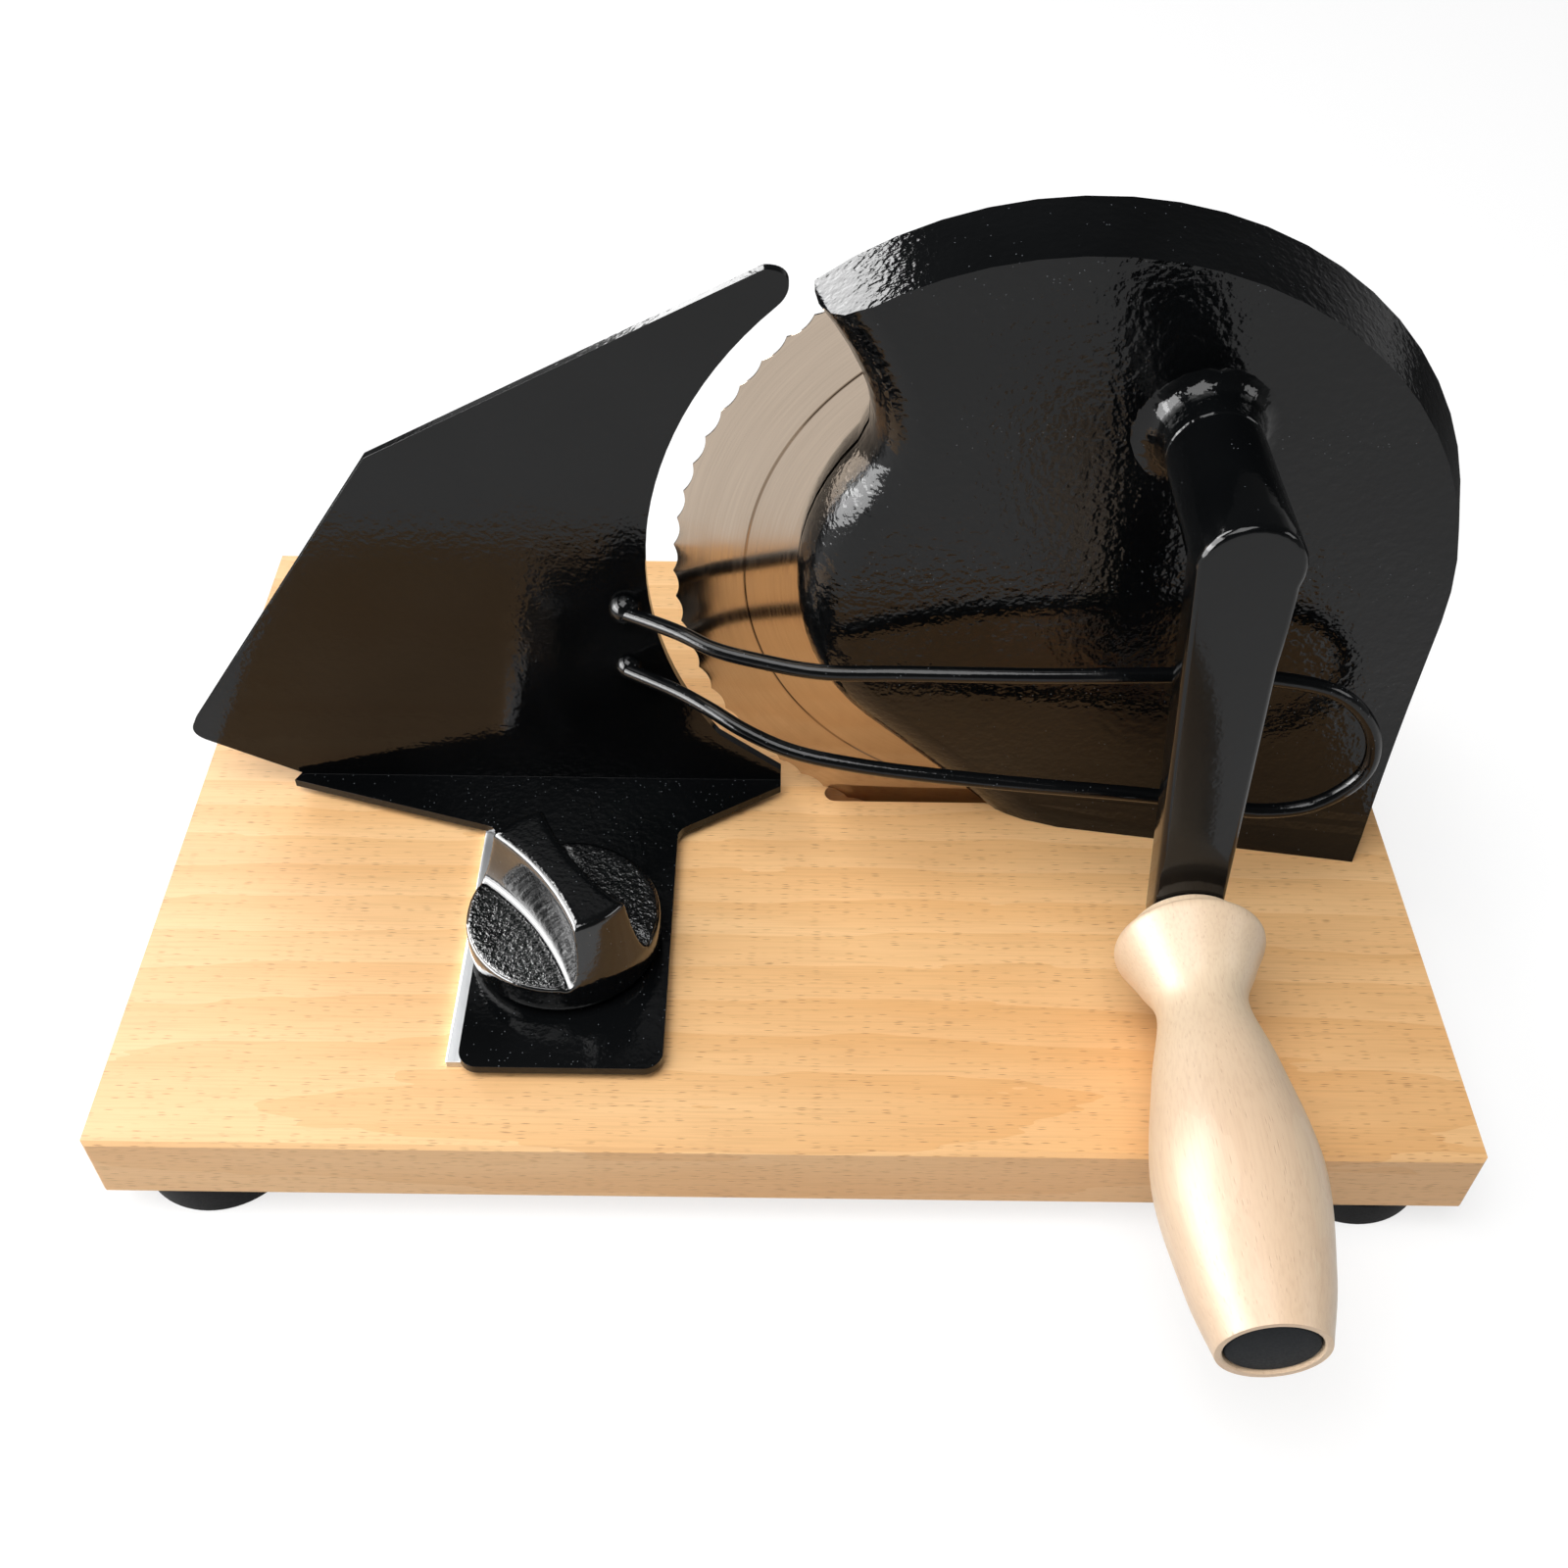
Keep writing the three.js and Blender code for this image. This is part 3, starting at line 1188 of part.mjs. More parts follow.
// What is cut away to round the skirt's edge along both floors
function knobLip() {
  const inner = KNOB_RADIUS - KNOB_LIP;
  const outer = KNOB_RADIUS + PAST;
  const low = knobFloor - KNOB_LIP;
  const corner = turnZ([
    [inner, knobFloor],
    [inner, knobFloor + PAST],
    [outer, knobFloor + PAST],
    [outer, low],
    [KNOB_RADIUS, low],
    [KNOB_RADIUS - KNOB_LIP * 0.3, knobFloor - KNOB_LIP * 0.3],
    [inner, knobFloor],
  ].reverse(), 0, 0, 32);
  const bow = KNOB_RADIUS ** 2 / (2 * BAR_HOLLOW_RADIUS);
  const half = BAR_FOOT_HALF + COVE_GROOVE_WIDTH + bow;
  return corner.subtract(box([-half, -outer, knobBottom], [half, outer, knobTop]));
}

// Threaded insert in the knob
function knobInsert() {
  const low = knobBottom + CLAMP_WASHER + 2 * GAP;
  return turnZ(ring(STUD_RADIUS + GAP, INSERT_RADIUS, low, low + INSERT_HEIGHT), KNOB_X, KNOB_Y, 12);
}

// Materials

const FINISHES = {
  beech: { color: 0xd9a865, roughness: 0.5, metalness: 0 },
  enamel: { color: 0x0b0c0d, roughness: 0.25, metalness: 0.1 },
  blade_steel: { color: 0xb9b4ab, roughness: 0.3, metalness: 1 },
  steel: { color: 0xa3a5a8, roughness: 0.4, metalness: 1 },
  rubber: { color: 0x101011, roughness: 0.9, metalness: 0 },
  pale_wood: { color: 0xe8c8a0, roughness: 0.35, metalness: 0 },
  cap_plastic: { color: 0x2a2f36, roughness: 0.7, metalness: 0 },
  bronze: { color: 0xa97c45, roughness: 0.4, metalness: 1 },
};

function piece(name, solid, finish) {
  const mesh = new THREE.Mesh(geometryOf(solid), new THREE.MeshStandardMaterial(FINISHES[finish]));
  mesh.name = name;
  return mesh;
}

// Assembly: board coordinates are shifted so that the origin lies on the floor, in the
// middle of the space between the front of the handle and the back of the board.

const slicer = new THREE.Group();
slicer.position.set(0, -(BOARD_DEPTH + handleFront) / 2, -floorZ);

const crank = new THREE.Group();
crank.position.set(crankX, 0, crankZ);
crank.rotation.y = -ARM_SWING;

slicer.add(piece('base_board', baseBoard(), 'beech'));
for (const [corner, [x, y]] of Object.entries(footPlaces)) {
  const screw = panScrew(x, y, headLedge, FOOT_SCREW_HEAD_RADIUS, FOOT_SCREW_RADIUS, FOOT_SCREW_LENGTH);
  slicer.add(piece(`foot_${corner}`, rubberFoot(x, y), 'rubber'));
  slicer.add(piece(`foot_screw_${corner}`, screw, 'steel'));
}
slicer.add(piece('housing', housing(), 'enamel'));
for (const [side, [x, y]] of Object.entries(housingScrewPlaces)) {
  const ledge = boardBottom + SCREW_HEAD_HEIGHT + 2 * GAP;
  const length = HOUSING_SCREW_REACH - ledge + GAP;
  const screw = panScrew(x, y, ledge, HOUSING_SCREW_HEAD_RADIUS, HOUSING_SCREW_RADIUS, length);
  slicer.add(piece(`housing_screw_${side}`, screw, 'steel'));
}
slicer.add(piece('crank_bush', crankBush(), 'bronze'));
slicer.add(piece('blade_axle', bladeAxle(), 'steel'));
slicer.add(piece('axle_washer', axleWasher(), 'steel'));
slicer.add(piece('axle_screw', axleScrew(), 'steel'));
slicer.add(piece('guide_strip', guideStrip(), 'steel'));
for (const [end, [x, y]] of Object.entries(guideScrewPlaces)) {
  slicer.add(piece(`guide_screw_${end}`, guideScrew(x, y), 'steel'));
}
slicer.add(piece('clamp_stud', clampStud(), 'steel'));
slicer.add(piece('clamp_washer', clampWasher(), 'steel'));

slicer.add(piece('blade', blade(), 'blade_steel'));
slicer.add(piece('blade_hub', bladeHub(), 'steel'));
slicer.add(piece('blade_gear', bladeGear(), 'steel'));
bladeScrewPlaces().forEach(([x, z], i) => {
  slicer.add(piece(`blade_screw_${i + 1}`, bladeScrew(x, z), 'steel'));
});

slicer.add(piece('crank_shaft', crankShaft(), 'steel'));
slicer.add(piece('crank_gear', crankGear(), 'steel'));
slicer.add(piece('shaft_clip', shaftClip(), 'steel'));
crank.add(piece('crank_arm', crankArm(), 'enamel'));
crank.add(piece('hub_set_screw', setScrew(), 'steel'));
crank.add(piece('handle_spindle', handleSpindle(), 'steel'));
slicer.add(crank);
slicer.add(piece('handle_grip', handleGrip(), 'pale_wood'));
slicer.add(piece('handle_cap', handleCap(), 'cap_plastic'));

slicer.add(piece('fence_plate', fencePlate(), 'enamel'));
slicer.add(piece('slice_guard', sliceGuard(), 'enamel'));
const knob = piece('clamp_knob', clampKnob(), 'enamel');
knob.position.set(KNOB_X, KNOB_Y, 0);
knob.rotation.z = BAR_ANGLE + Math.PI / 2;
slicer.add(knob);
slicer.add(piece('knob_insert', knobInsert(), 'bronze'));

export default slicer;
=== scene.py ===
"""Looks of the hand-cranked bread slicer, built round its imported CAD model."""

import json
import math

import bmesh
import bpy
from mathutils import Matrix, Vector


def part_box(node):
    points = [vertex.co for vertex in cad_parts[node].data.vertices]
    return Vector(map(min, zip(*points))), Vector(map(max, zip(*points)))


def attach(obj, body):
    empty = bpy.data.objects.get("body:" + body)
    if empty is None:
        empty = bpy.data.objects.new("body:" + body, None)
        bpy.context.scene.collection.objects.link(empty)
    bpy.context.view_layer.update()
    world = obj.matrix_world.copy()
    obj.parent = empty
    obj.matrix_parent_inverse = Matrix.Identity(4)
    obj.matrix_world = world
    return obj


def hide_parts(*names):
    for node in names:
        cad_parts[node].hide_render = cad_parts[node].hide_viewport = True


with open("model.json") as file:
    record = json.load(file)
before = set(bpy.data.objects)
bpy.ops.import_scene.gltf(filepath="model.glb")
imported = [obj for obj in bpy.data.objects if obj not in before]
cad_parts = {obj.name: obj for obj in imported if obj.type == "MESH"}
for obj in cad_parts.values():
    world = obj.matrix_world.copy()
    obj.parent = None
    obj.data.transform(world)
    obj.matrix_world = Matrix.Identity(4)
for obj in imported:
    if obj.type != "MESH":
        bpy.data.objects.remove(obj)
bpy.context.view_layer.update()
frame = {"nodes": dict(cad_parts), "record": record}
nodes = frame["nodes"]
record = frame["record"]
bodies = record["behaviour"]["bodies"]
body_of = {node: body for body, members in bodies.items() for node in members}
slot_of = {part["node"]: part["material_slot"] for part in record["subparts"]}

# Board coordinates are in mm: x from the board's middle, y from its front edge, z from its top face.
BOARD_ORIGIN = Vector((0.0, -0.0828, 0.033))


def at(x, y, z):
    """A place in board coordinates, moved to the row frame."""
    return BOARD_ORIGIN + Vector((x, y, z)) / 1000


def in_board(point):
    """A place in the row frame, moved to board coordinates."""
    return (point - BOARD_ORIGIN) * 1000


BLADE_AXIS = at(65.0, 119.2, 80.8)


# Materials. All lengths in them are in metres.

class Graph:
    """A node tree, and short ways to add and join its nodes."""

    def __init__(self, tree):
        self.tree = tree

    def feed(self, socket, value):
        if isinstance(value, bpy.types.NodeSocket):
            self.tree.links.new(value, socket)
        else:
            socket.default_value = value

    def add(self, kind, inputs=(), **settings):
        node = self.tree.nodes.new(kind)
        for key, value in settings.items():
            setattr(node, key, value)
        for key, value in dict(inputs).items():
            self.feed(node.inputs[key], value)
        return node

    def calc(self, operation, a, b=0.0):
        return self.add("ShaderNodeMath", {0: a, 1: b}, operation=operation).outputs[0]

    def plus(self, a, b):
        return self.calc("ADD", a, b)

    def times(self, a, b):
        return self.calc("MULTIPLY", a, b)

    def span(self, value, low, high, to_low=0.0, to_high=1.0):
        """A value between low and high, laid out between two others and held there."""
        inputs = {"Value": value, "From Min": low, "From Max": high}
        inputs |= {"To Min": to_low, "To Max": to_high}
        return self.add("ShaderNodeMapRange", inputs).outputs["Result"]

    def parts(self, vector):
        """The X, Y and Z of a vector."""
        return self.add("ShaderNodeSeparateXYZ", {"Vector": vector}).outputs

    def blend(self, share, first, second):
        """A mix of two shaders."""
        return self.add("ShaderNodeMixShader", {0: share, 1: first, 2: second}).outputs[0]

    def rays(self, *kinds):
        """1 for a ray of any of these kinds, and 0 for others."""
        path = self.add("ShaderNodeLightPath").outputs
        found = path[f"Is {kinds[0]} Ray"]
        for kind in kinds[1:]:
            found = self.calc("MAXIMUM", found, path[f"Is {kind} Ray"])
        return found


class Look(Graph):
    """A material with a Principled shader, and the textures that feed it."""

    def __init__(self, name):
        self.material = bpy.data.materials.new(name)
        self.material.use_nodes = True
        super().__init__(self.material.node_tree)
        self.shader = self.tree.nodes["Principled BSDF"]
        coords = self.add("ShaderNodeTexCoord").outputs
        self.place, self.facing = coords["Object"], coords["Normal"]

    def stretch(self, x, y, z, place=None):
        inputs = {"Vector": place or self.place, "Scale": (x, y, z)}
        return self.add("ShaderNodeMapping", inputs).outputs["Vector"]

    def noise(self, scale, detail, place=None, distortion=0.0):
        inputs = {"Vector": place or self.place, "Scale": scale}
        inputs |= {"Detail": detail, "Distortion": distortion}
        return self.add("ShaderNodeTexNoise", inputs).outputs["Fac"]

    def cells(self, scale, place=None, channel=0):
        """Scattered cells: how far each place is from its cell's middle, and a draw for each cell."""
        inputs = {"Vector": place or self.place, "Scale": scale}
        cell = self.add("ShaderNodeTexVoronoi", inputs).outputs
        draw = self.add("ShaderNodeSeparateColor", {"Color": cell["Color"]}).outputs[channel]
        return cell["Distance"], draw

    def mix(self, factor, a, b):
        node = self.add("ShaderNodeMix", data_type="RGBA")
        colour_sockets = (node.inputs[0], node.inputs[6], node.inputs[7])
        for socket, value in zip(colour_sockets, (factor, a, b)):
            self.feed(socket, value)
        return node.outputs[2]

    def bump(self, height, depth, normal=None):
        inputs = {"Height": height, "Distance": depth, "Strength": 1.0}
        if normal:
            inputs["Normal"] = normal
        return self.add("ShaderNodeBump", inputs).outputs["Normal"]

    def finish(self, **sockets):
        for key, value in sockets.items():
            self.feed(self.shader.inputs[key.replace("_", " ")], value)
        return self.material


# Grain is a (length, width) along and across the wood.
BROAD_GRAIN, FIBRE_GRAIN, RING_GRAIN = (0.30, 0.045), (0.025, 0.0006), (9.0, 1.0)
RINGS = {"Scale": 28.0, "Distortion": 3.0, "Detail": 2.0, "Detail Scale": 5.0}
TURNED_AWAY = (0.6, 0.9)
FIBRE_SHARE, FRONT_SHARE, END_SHARE = 0.34, 0.3, 0.45
WOOD_ROUGHNESS, DASH_ROUGHNESS, WOOD_RELIEF = (0.36, 0.48), 0.12, 0.00005


def wood(
    name, along, pale, dark, fleck, dash_grain, dash_share, ring_shift, ring_share,
    front_dashes=0.0, front_tint=None, end_tint=None, coat=0.0,
):
    """Close-grained wood: broad tone, growth rings, fibres and short dark dashes along one axis.

    The front and back faces can have more dashes and a tint, and the end faces a tint.
    """
    look = Look(name)
    axis = {"x": 0, "y": 1}[along]

    def grained(grain, place=None):
        length, width = grain
        scale = [1 / width] * 3
        scale[axis] = 1 / length
        return look.stretch(*scale, place)

    broad = look.noise(1.0, 3.0, grained(BROAD_GRAIN), distortion=0.6)
    fibres = look.noise(1.0, 2.0, grained(FIBRE_GRAIN))
    shift = {"Vector": look.place, "Location": ring_shift}
    shifted = look.add("ShaderNodeMapping", shift).outputs["Vector"]
    rings = look.add(
        "ShaderNodeTexWave",
        {"Vector": grained(RING_GRAIN, shifted), **RINGS},
        wave_type="RINGS",
        rings_direction="SPHERICAL",
        wave_profile="SAW",
    ).outputs["Fac"]

    facing = look.parts(look.facing)
    frontal = look.span(look.calc("ABSOLUTE", facing["Y"]), *TURNED_AWAY)
    distance, draw = look.cells(1.0, grained(dash_grain))
    chosen = look.span(look.plus(draw, look.times(frontal, front_dashes)), 0.55, 0.85)
    dash = look.times(look.span(distance, 0.36, 0.14), chosen)

    tone = look.plus(look.times(broad, 1.0 - ring_share), look.times(rings, ring_share))
    colour = look.mix(look.span(tone, 0.30, 0.72), pale, dark)
    colour = look.mix(look.span(fibres, 0.45, 0.95, 0.0, FIBRE_SHARE), colour, fleck)
    colour = look.mix(look.times(dash, dash_share), colour, fleck)
    if end_tint:
        ending = look.span(look.calc("ABSOLUTE", facing["X"]), *TURNED_AWAY, 0.0, END_SHARE)
        colour = look.mix(ending, colour, end_tint)
    if front_tint:
        colour = look.mix(look.times(frontal, FRONT_SHARE), colour, front_tint)
    smoothness = look.span(broad, 0.2, 0.8, *WOOD_ROUGHNESS)
    return look.finish(
        Base_Color=colour,
        Roughness=look.plus(smoothness, look.times(dash, DASH_ROUGHNESS)),
        Normal=look.bump(look.calc("SUBTRACT", look.times(fibres, 0.4), dash), WOOD_RELIEF),
        Coat_Weight=coat,
        Coat_Roughness=0.32,
        Specular_IOR_Level=0.3,
    )


INK, PALER_INK = (0.0020, 0.0023, 0.0026, 1), (0.0032, 0.0036, 0.0040, 1)
# Pale specks lightened into the base colour: partly fine dust, partly painted glints of the enamel's
# tiny pits.
DUST_AND_GLINT_COLOUR, DUST_AND_GLINT_SPACING, DUST_AND_GLINT_ROUGHNESS = (0.11, 0.12, 0.13, 1), 0.0008, 0.2
PATCH_SIZE, PIT_SIZE, PIT_FADE = 0.03, 0.0011, 0.003
ENAMEL_ROUGHNESS = (0.08, 0.12)


def enamel(name, peel, peel_size, dust_and_glint_share, pit_depth=0.0, pits_below=0.0, shine=0.27):
    """Black stoved enamel: glossy and rippled, with fine pale specks that are partly dust and partly
    painted glints, and pits on level floors.
    """
    look = Look(name)
    ripple = look.noise(1 / peel_size, 1.0)
    fine = look.noise(2.3 / peel_size, 1.0)
    patch = look.noise(1 / PATCH_SIZE, 1.0)
    # Pale specks: partly dust, partly painted glints; paler in the base colour and rougher.
    distance, draw = look.cells(1 / DUST_AND_GLINT_SPACING, channel=1)
    chosen = look.span(draw, 1.0 - dust_and_glint_share, 1.0 - dust_and_glint_share + 0.03)
    dust_and_glint = look.times(look.span(distance, 0.24, 0.10), chosen)
    shade = look.mix(look.span(patch, 0.35, 0.65), INK, PALER_INK)
    wave = look.plus(ripple, look.times(fine, 0.35))
    normal = look.bump(look.times(wave, look.span(patch, 0.3, 0.7, 0.6, 1.0)), peel)
    if pit_depth:
        level = look.span(look.parts(look.facing)["Z"], 0.90, 0.99)
        height = look.parts(look.place)["Z"]
        low = look.span(height, pits_below, pits_below + PIT_FADE, 1.0, 0.12)
        pits = look.times(look.noise(1 / PIT_SIZE, 2.0), look.times(level, low))
        normal = look.bump(pits, pit_depth, normal)
    smoothness = look.span(patch, 0.3, 0.7, *ENAMEL_ROUGHNESS)
    return look.finish(
        Base_Color=look.mix(dust_and_glint, shade, DUST_AND_GLINT_COLOUR),
        Roughness=look.plus(smoothness, look.times(dust_and_glint, DUST_AND_GLINT_ROUGHNESS)),
        Normal=normal,
        Specular_IOR_Level=shine,
    )


# Painted shade: a thin dark ring along the blade's step where its ground bevel begins.
GROOVE_SHADE_COLOUR, GROOVE_SHADE_EDGE = (0.13, 0.08, 0.045, 1), (0.0002, 0.0005)


def round_lines(look, axis_point):
    """The radius about an axis along y, and places for fine and broad lines round it."""
    about = {0: look.place, 1: axis_point}
    offset = look.add("ShaderNodeVectorMath", about, operation="SUBTRACT").outputs[0]
    x, _, z = look.parts(offset)
    radius = look.calc("SQRT", look.plus(look.times(x, x), look.times(z, z)))
    turn = look.calc("ARCTAN2", z, x)

    def lines(per_metre, per_radian):
        inputs = {"X": look.times(radius, per_metre), "Y": look.times(turn, per_radian)}
        return look.add("ShaderNodeCombineXYZ", inputs).outputs[0]

    return radius, lines(1900.0, 3.0), lines(260.0, 1.5)


def brushed(
    name, colour, axis_point=None, roughness=(0.22, 0.36), depth=0.000004, contrast=0.80,
    groove=None,
):
    """Brushed metal: lines along y, or round an axis, where a groove gets a thin dark ring of painted
    shade.
    """
    look = Look(name)
    if axis_point:
        radius, fine, broad = round_lines(look, axis_point)
    else:
        fine, broad = look.stretch(2200.0, 30.0, 2200.0), look.stretch(300.0, 8.0, 300.0)
    line = look.noise(1.0, 3.0, fine)
    band = look.noise(1.0, 2.0, broad)
    tone = look.plus(look.times(line, 0.6), look.times(band, 0.4))
    shade = (*(level * contrast for level in colour[:3]), 1)
    finish = look.mix(look.span(tone, 0.35, 0.65), colour, shade)
    # A thin ring of painted shade in the groove.
    if groove:
        off = look.calc("ABSOLUTE", look.calc("SUBTRACT", radius, groove))
        finish = look.mix(look.span(off, *GROOVE_SHADE_EDGE, 0.75, 0.0), finish, GROOVE_SHADE_COLOUR)
    return look.finish(
        Base_Color=finish,
        Metallic=1.0,
        Roughness=look.span(tone, 0.35, 0.65, *roughness),
        Normal=look.bump(line, depth),
    )


def moulded(name, colour, dusty, roughness, grain_size, depth, shine):
    """Matt rubber or plastic with a fine moulded grain and faint dust."""
    look = Look(name)
    grain = look.noise(1 / grain_size, 2.0)
    dust = look.noise(1 / 0.012, 3.0)
    return look.finish(
        Base_Color=look.mix(look.span(dust, 0.4, 0.8, 0.0, 0.6), colour, dusty),
        Roughness=look.span(grain, 0.3, 0.7, roughness - 0.06, roughness + 0.06),
        Normal=look.bump(grain, depth),
        Specular_IOR_Level=shine,
    )


looks = {
    "beech": wood(
        "beech_board",
        along="x",
        pale=(0.89, 0.565, 0.275, 1),
        dark=(0.775, 0.425, 0.170, 1),
        fleck=(0.36, 0.155, 0.050, 1),
        dash_grain=(0.0042, 0.00042),
        dash_share=0.75,
        ring_shift=(0.020, 0.0708, -0.033),
        ring_share=0.22,
        front_dashes=0.3,
        front_tint=(0.56, 0.32, 0.17, 1),
        end_tint=(0.46, 0.26, 0.115, 1),
    ),
    "pale_wood": wood(
        "lacquered_grip",
        along="y",
        pale=(0.82, 0.65, 0.46, 1),
        dark=(0.73, 0.50, 0.33, 1),
        fleck=(0.50, 0.29, 0.17, 1),
        dash_grain=(0.0050, 0.0005),
        dash_share=0.3,
        ring_shift=(-0.0986, 0.0, -0.0606),
        ring_share=0.10,
        front_tint=(0.62, 0.42, 0.27, 1),
        coat=0.15,
    ),
    "enamel": enamel("sheet_enamel", peel=0.00008, peel_size=0.0020, dust_and_glint_share=0.12),
    "blade_steel": brushed(
        "ground_blade",
        (0.465, 0.38, 0.30, 1),
        axis_point=BLADE_AXIS,
        roughness=(0.09, 0.15),
        depth=0.0000012,
        contrast=0.90,
        # The radius of the bevel's step, which gets a ring of painted shade.
        groove=0.0772,
    ),
    "steel": brushed("bare_steel", (0.58, 0.59, 0.60, 1), roughness=(0.34, 0.48)),
    "rubber": moulded(
        "foot_rubber",
        colour=(0.004, 0.004, 0.0045, 1),
        dusty=(0.010, 0.010, 0.011, 1),
        roughness=0.75,
        grain_size=0.0006,
        depth=0.00003,
        shine=0.15,
    ),
    "cap_plastic": moulded(
        "cap_plastic",
        colour=(0.006, 0.008, 0.010, 1),
        dusty=(0.009, 0.011, 0.014, 1),
        roughness=0.45,
        grain_size=0.0005,
        depth=0.000006,
        shine=0.05,
    ),
    "bronze": brushed("turned_bronze", (0.52, 0.33, 0.14, 1)),
}
# Pieces whose enamel differs from the sheet's.
special = {
    "housing": enamel("cast_enamel", peel=0.00022, peel_size=0.0022, dust_and_glint_share=0.05),
    "crank_arm": enamel("arm_enamel", peel=0.00003, peel_size=0.0021, dust_and_glint_share=0.04),
    "clamp_knob": enamel(
        "knob_enamel",
        peel=0.00005,
        peel_size=0.0020,
        dust_and_glint_share=0.10,
        pit_depth=0.0006,
        pits_below=at(0, 0, 18).z,
        shine=0.6,
    ),
    "slice_guard": enamel("wire_enamel", peel=0.00006, peel_size=0.0018, dust_and_glint_share=0.10),
}


def dress(piece, node):
    """Puts a piece in a CAD node's place, with the node's body, slot and finish."""
    piece.data.materials.clear()
    piece.data.materials.append(special.get(node) or looks[slot_of[node]])
    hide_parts(node)
    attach(piece, body_of[node])
    return piece


# Ways to make a piece.

WELD, FLAT_ANGLE, BEVEL_SEGMENTS = 3e-6, 0.3, 3


def refined(node, rounding=0.0, sharp=30.0):
    """A welded copy of a CAD node whose curves shade smooth and whose edges are rounded."""
    mesh = nodes[node].data.copy()
    mesh.name = node + "_finish"
    if "custom_normal" in mesh.attributes:
        mesh.attributes.remove(mesh.attributes["custom_normal"])
    shape = bmesh.new()
    shape.from_mesh(mesh)
    bmesh.ops.remove_doubles(shape, verts=shape.verts, dist=WELD)
    bmesh.ops.dissolve_limit(
        shape,
        angle_limit=math.radians(FLAT_ANGLE),
        use_dissolve_boundaries=False,
        verts=shape.verts,
        edges=shape.edges,
    )
    for face in shape.faces:
        face.smooth = True
    for edge in shape.edges:
        closed = len(edge.link_faces) == 2
        edge.smooth = closed and edge.calc_face_angle(0.0) < math.radians(sharp)
    shape.to_mesh(mesh)
    shape.free()
    piece = bpy.data.objects.new(node + "_finish", mesh)
    bpy.context.scene.collection.objects.link(piece)
    if rounding:
        round_edges(piece, rounding, sharp)
    return piece


def round_edges(piece, rounding, sharp):
    bevel = piece.modifiers.new("edge rounding", "BEVEL")
    bevel.width = rounding
    bevel.segments = BEVEL_SEGMENTS
    bevel.limit_method = "ANGLE"
    bevel.angle_limit = math.radians(sharp)
    bevel.harden_normals = True
    piece.modifiers.new("flat faces", "WEIGHTED_NORMAL").keep_sharp = True


def worked_in(piece):
    """Gives the piece the mesh that its modifiers make."""
    graph = bpy.context.evaluated_depsgraph_get()
    mesh = bpy.data.meshes.new_from_object(piece.evaluated_get(graph))
    piece.modifiers.clear()
    piece.data = mesh
    return mesh


def mesh_piece(name, *shells, sharp=35.0):
    """A welded mesh of shells, each of them points and faces; smooth but for its sharp edges."""
    shape = bmesh.new()
    for points, faces in shells:
        corners = [shape.verts.new(point) for point in points]
        for face in faces:
            shape.faces.new([corners[i] for i in face])
    bmesh.ops.remove_doubles(shape, verts=shape.verts, dist=1e-6)
    bmesh.ops.recalc_face_normals(shape, faces=shape.faces)
    mesh = bpy.data.meshes.new(name)
    shape.to_mesh(mesh)
    shape.free()
    mesh.shade_smooth()
    mesh.set_sharp_from_angle(angle=math.radians(sharp))
    piece = bpy.data.objects.new(name, mesh)
    bpy.context.scene.collection.objects.link(piece)
    return piece


def turned(profiles, closed=False):
    """The shell that joins one row of points per step of a full turn."""
    count = len(profiles[0])
    points = [point for profile in profiles for point in profile]
    faces = []
    for i in range(len(profiles)):
        here, there = i * count, (i + 1) % len(profiles) * count
        for j in range(count if closed else count - 1):
            k = (j + 1) % count
            faces.append((here + j, here + k, there + k, there + j))
    return points, faces


def lathe(profile, centre, axis, steps):
    """A profile of (radius, place along the axis), turned about an axis through centre."""
    profiles = []
    for i in range(steps):
        turn = 2 * math.pi * i / steps
        across, up = math.cos(turn), math.sin(turn)
        if axis == "z":
            row = [(centre.x + r * across, centre.y + r * up, h) for r, h in profile]
        else:
            row = [(centre.x + r * across, h, centre.z + r * up) for r, h in profile]
        profiles.append(row)
    return turned(profiles)


def through(points, per_span, evenly):
    """A Catmull-Rom line through points, uniform or centripetal."""
    first = points[0] if evenly else 2 * points[0] - points[1]
    last = points[-1] if evenly else 2 * points[-1] - points[-2]
    row = [first, *points, last]
    line = []
    for a, b, c, d in zip(row, row[1:], row[2:], row[3:]):
        if evenly:
            lead, trail = (c - a) / 2, (d - b) / 2
        else:
            s, t, u = ((q - p).length ** 0.5 for p, q in ((a, b), (b, c), (c, d)))
            lead = ((b - a) / s - (c - a) / (s + t) + (c - b) / t) * t
            trail = ((c - b) / t - (d - b) / (t + u) + (d - c) / u) * t
        for i in range(per_span):
            k = i / per_span
            ease = k * k * (3 - 2 * k)
            bend = lead * (k * (1 - k) ** 2) - trail * (k * k * (1 - k))
            line.append(b * (1 - ease) + c * ease + bend)
    return line + [points[-1]]


def swept(line, radius, sides):
    """A round bar along a line, with flat ends."""
    points, faces = [], []
    side = Vector((0, 0, 1))
    for i, place in enumerate(line):
        ahead = (line[min(i + 1, len(line) - 1)] - line[max(i - 1, 0)]).normalized()
        side = (side - ahead * side.dot(ahead)).normalized()
        other = ahead.cross(side)
        for j in range(sides):
            turn = 2 * math.pi * j / sides
            points.append(place + radius * (math.cos(turn) * side + math.sin(turn) * other))
    for i in range(len(line) - 1):
        here, there = i * sides, (i + 1) * sides
        for j in range(sides):
            k = (j + 1) % sides
            faces.append((here + j, here + k, there + k, there + j))
    last = (len(line) - 1) * sides
    return points, faces + [tuple(range(sides)), tuple(range(last, last + sides))]


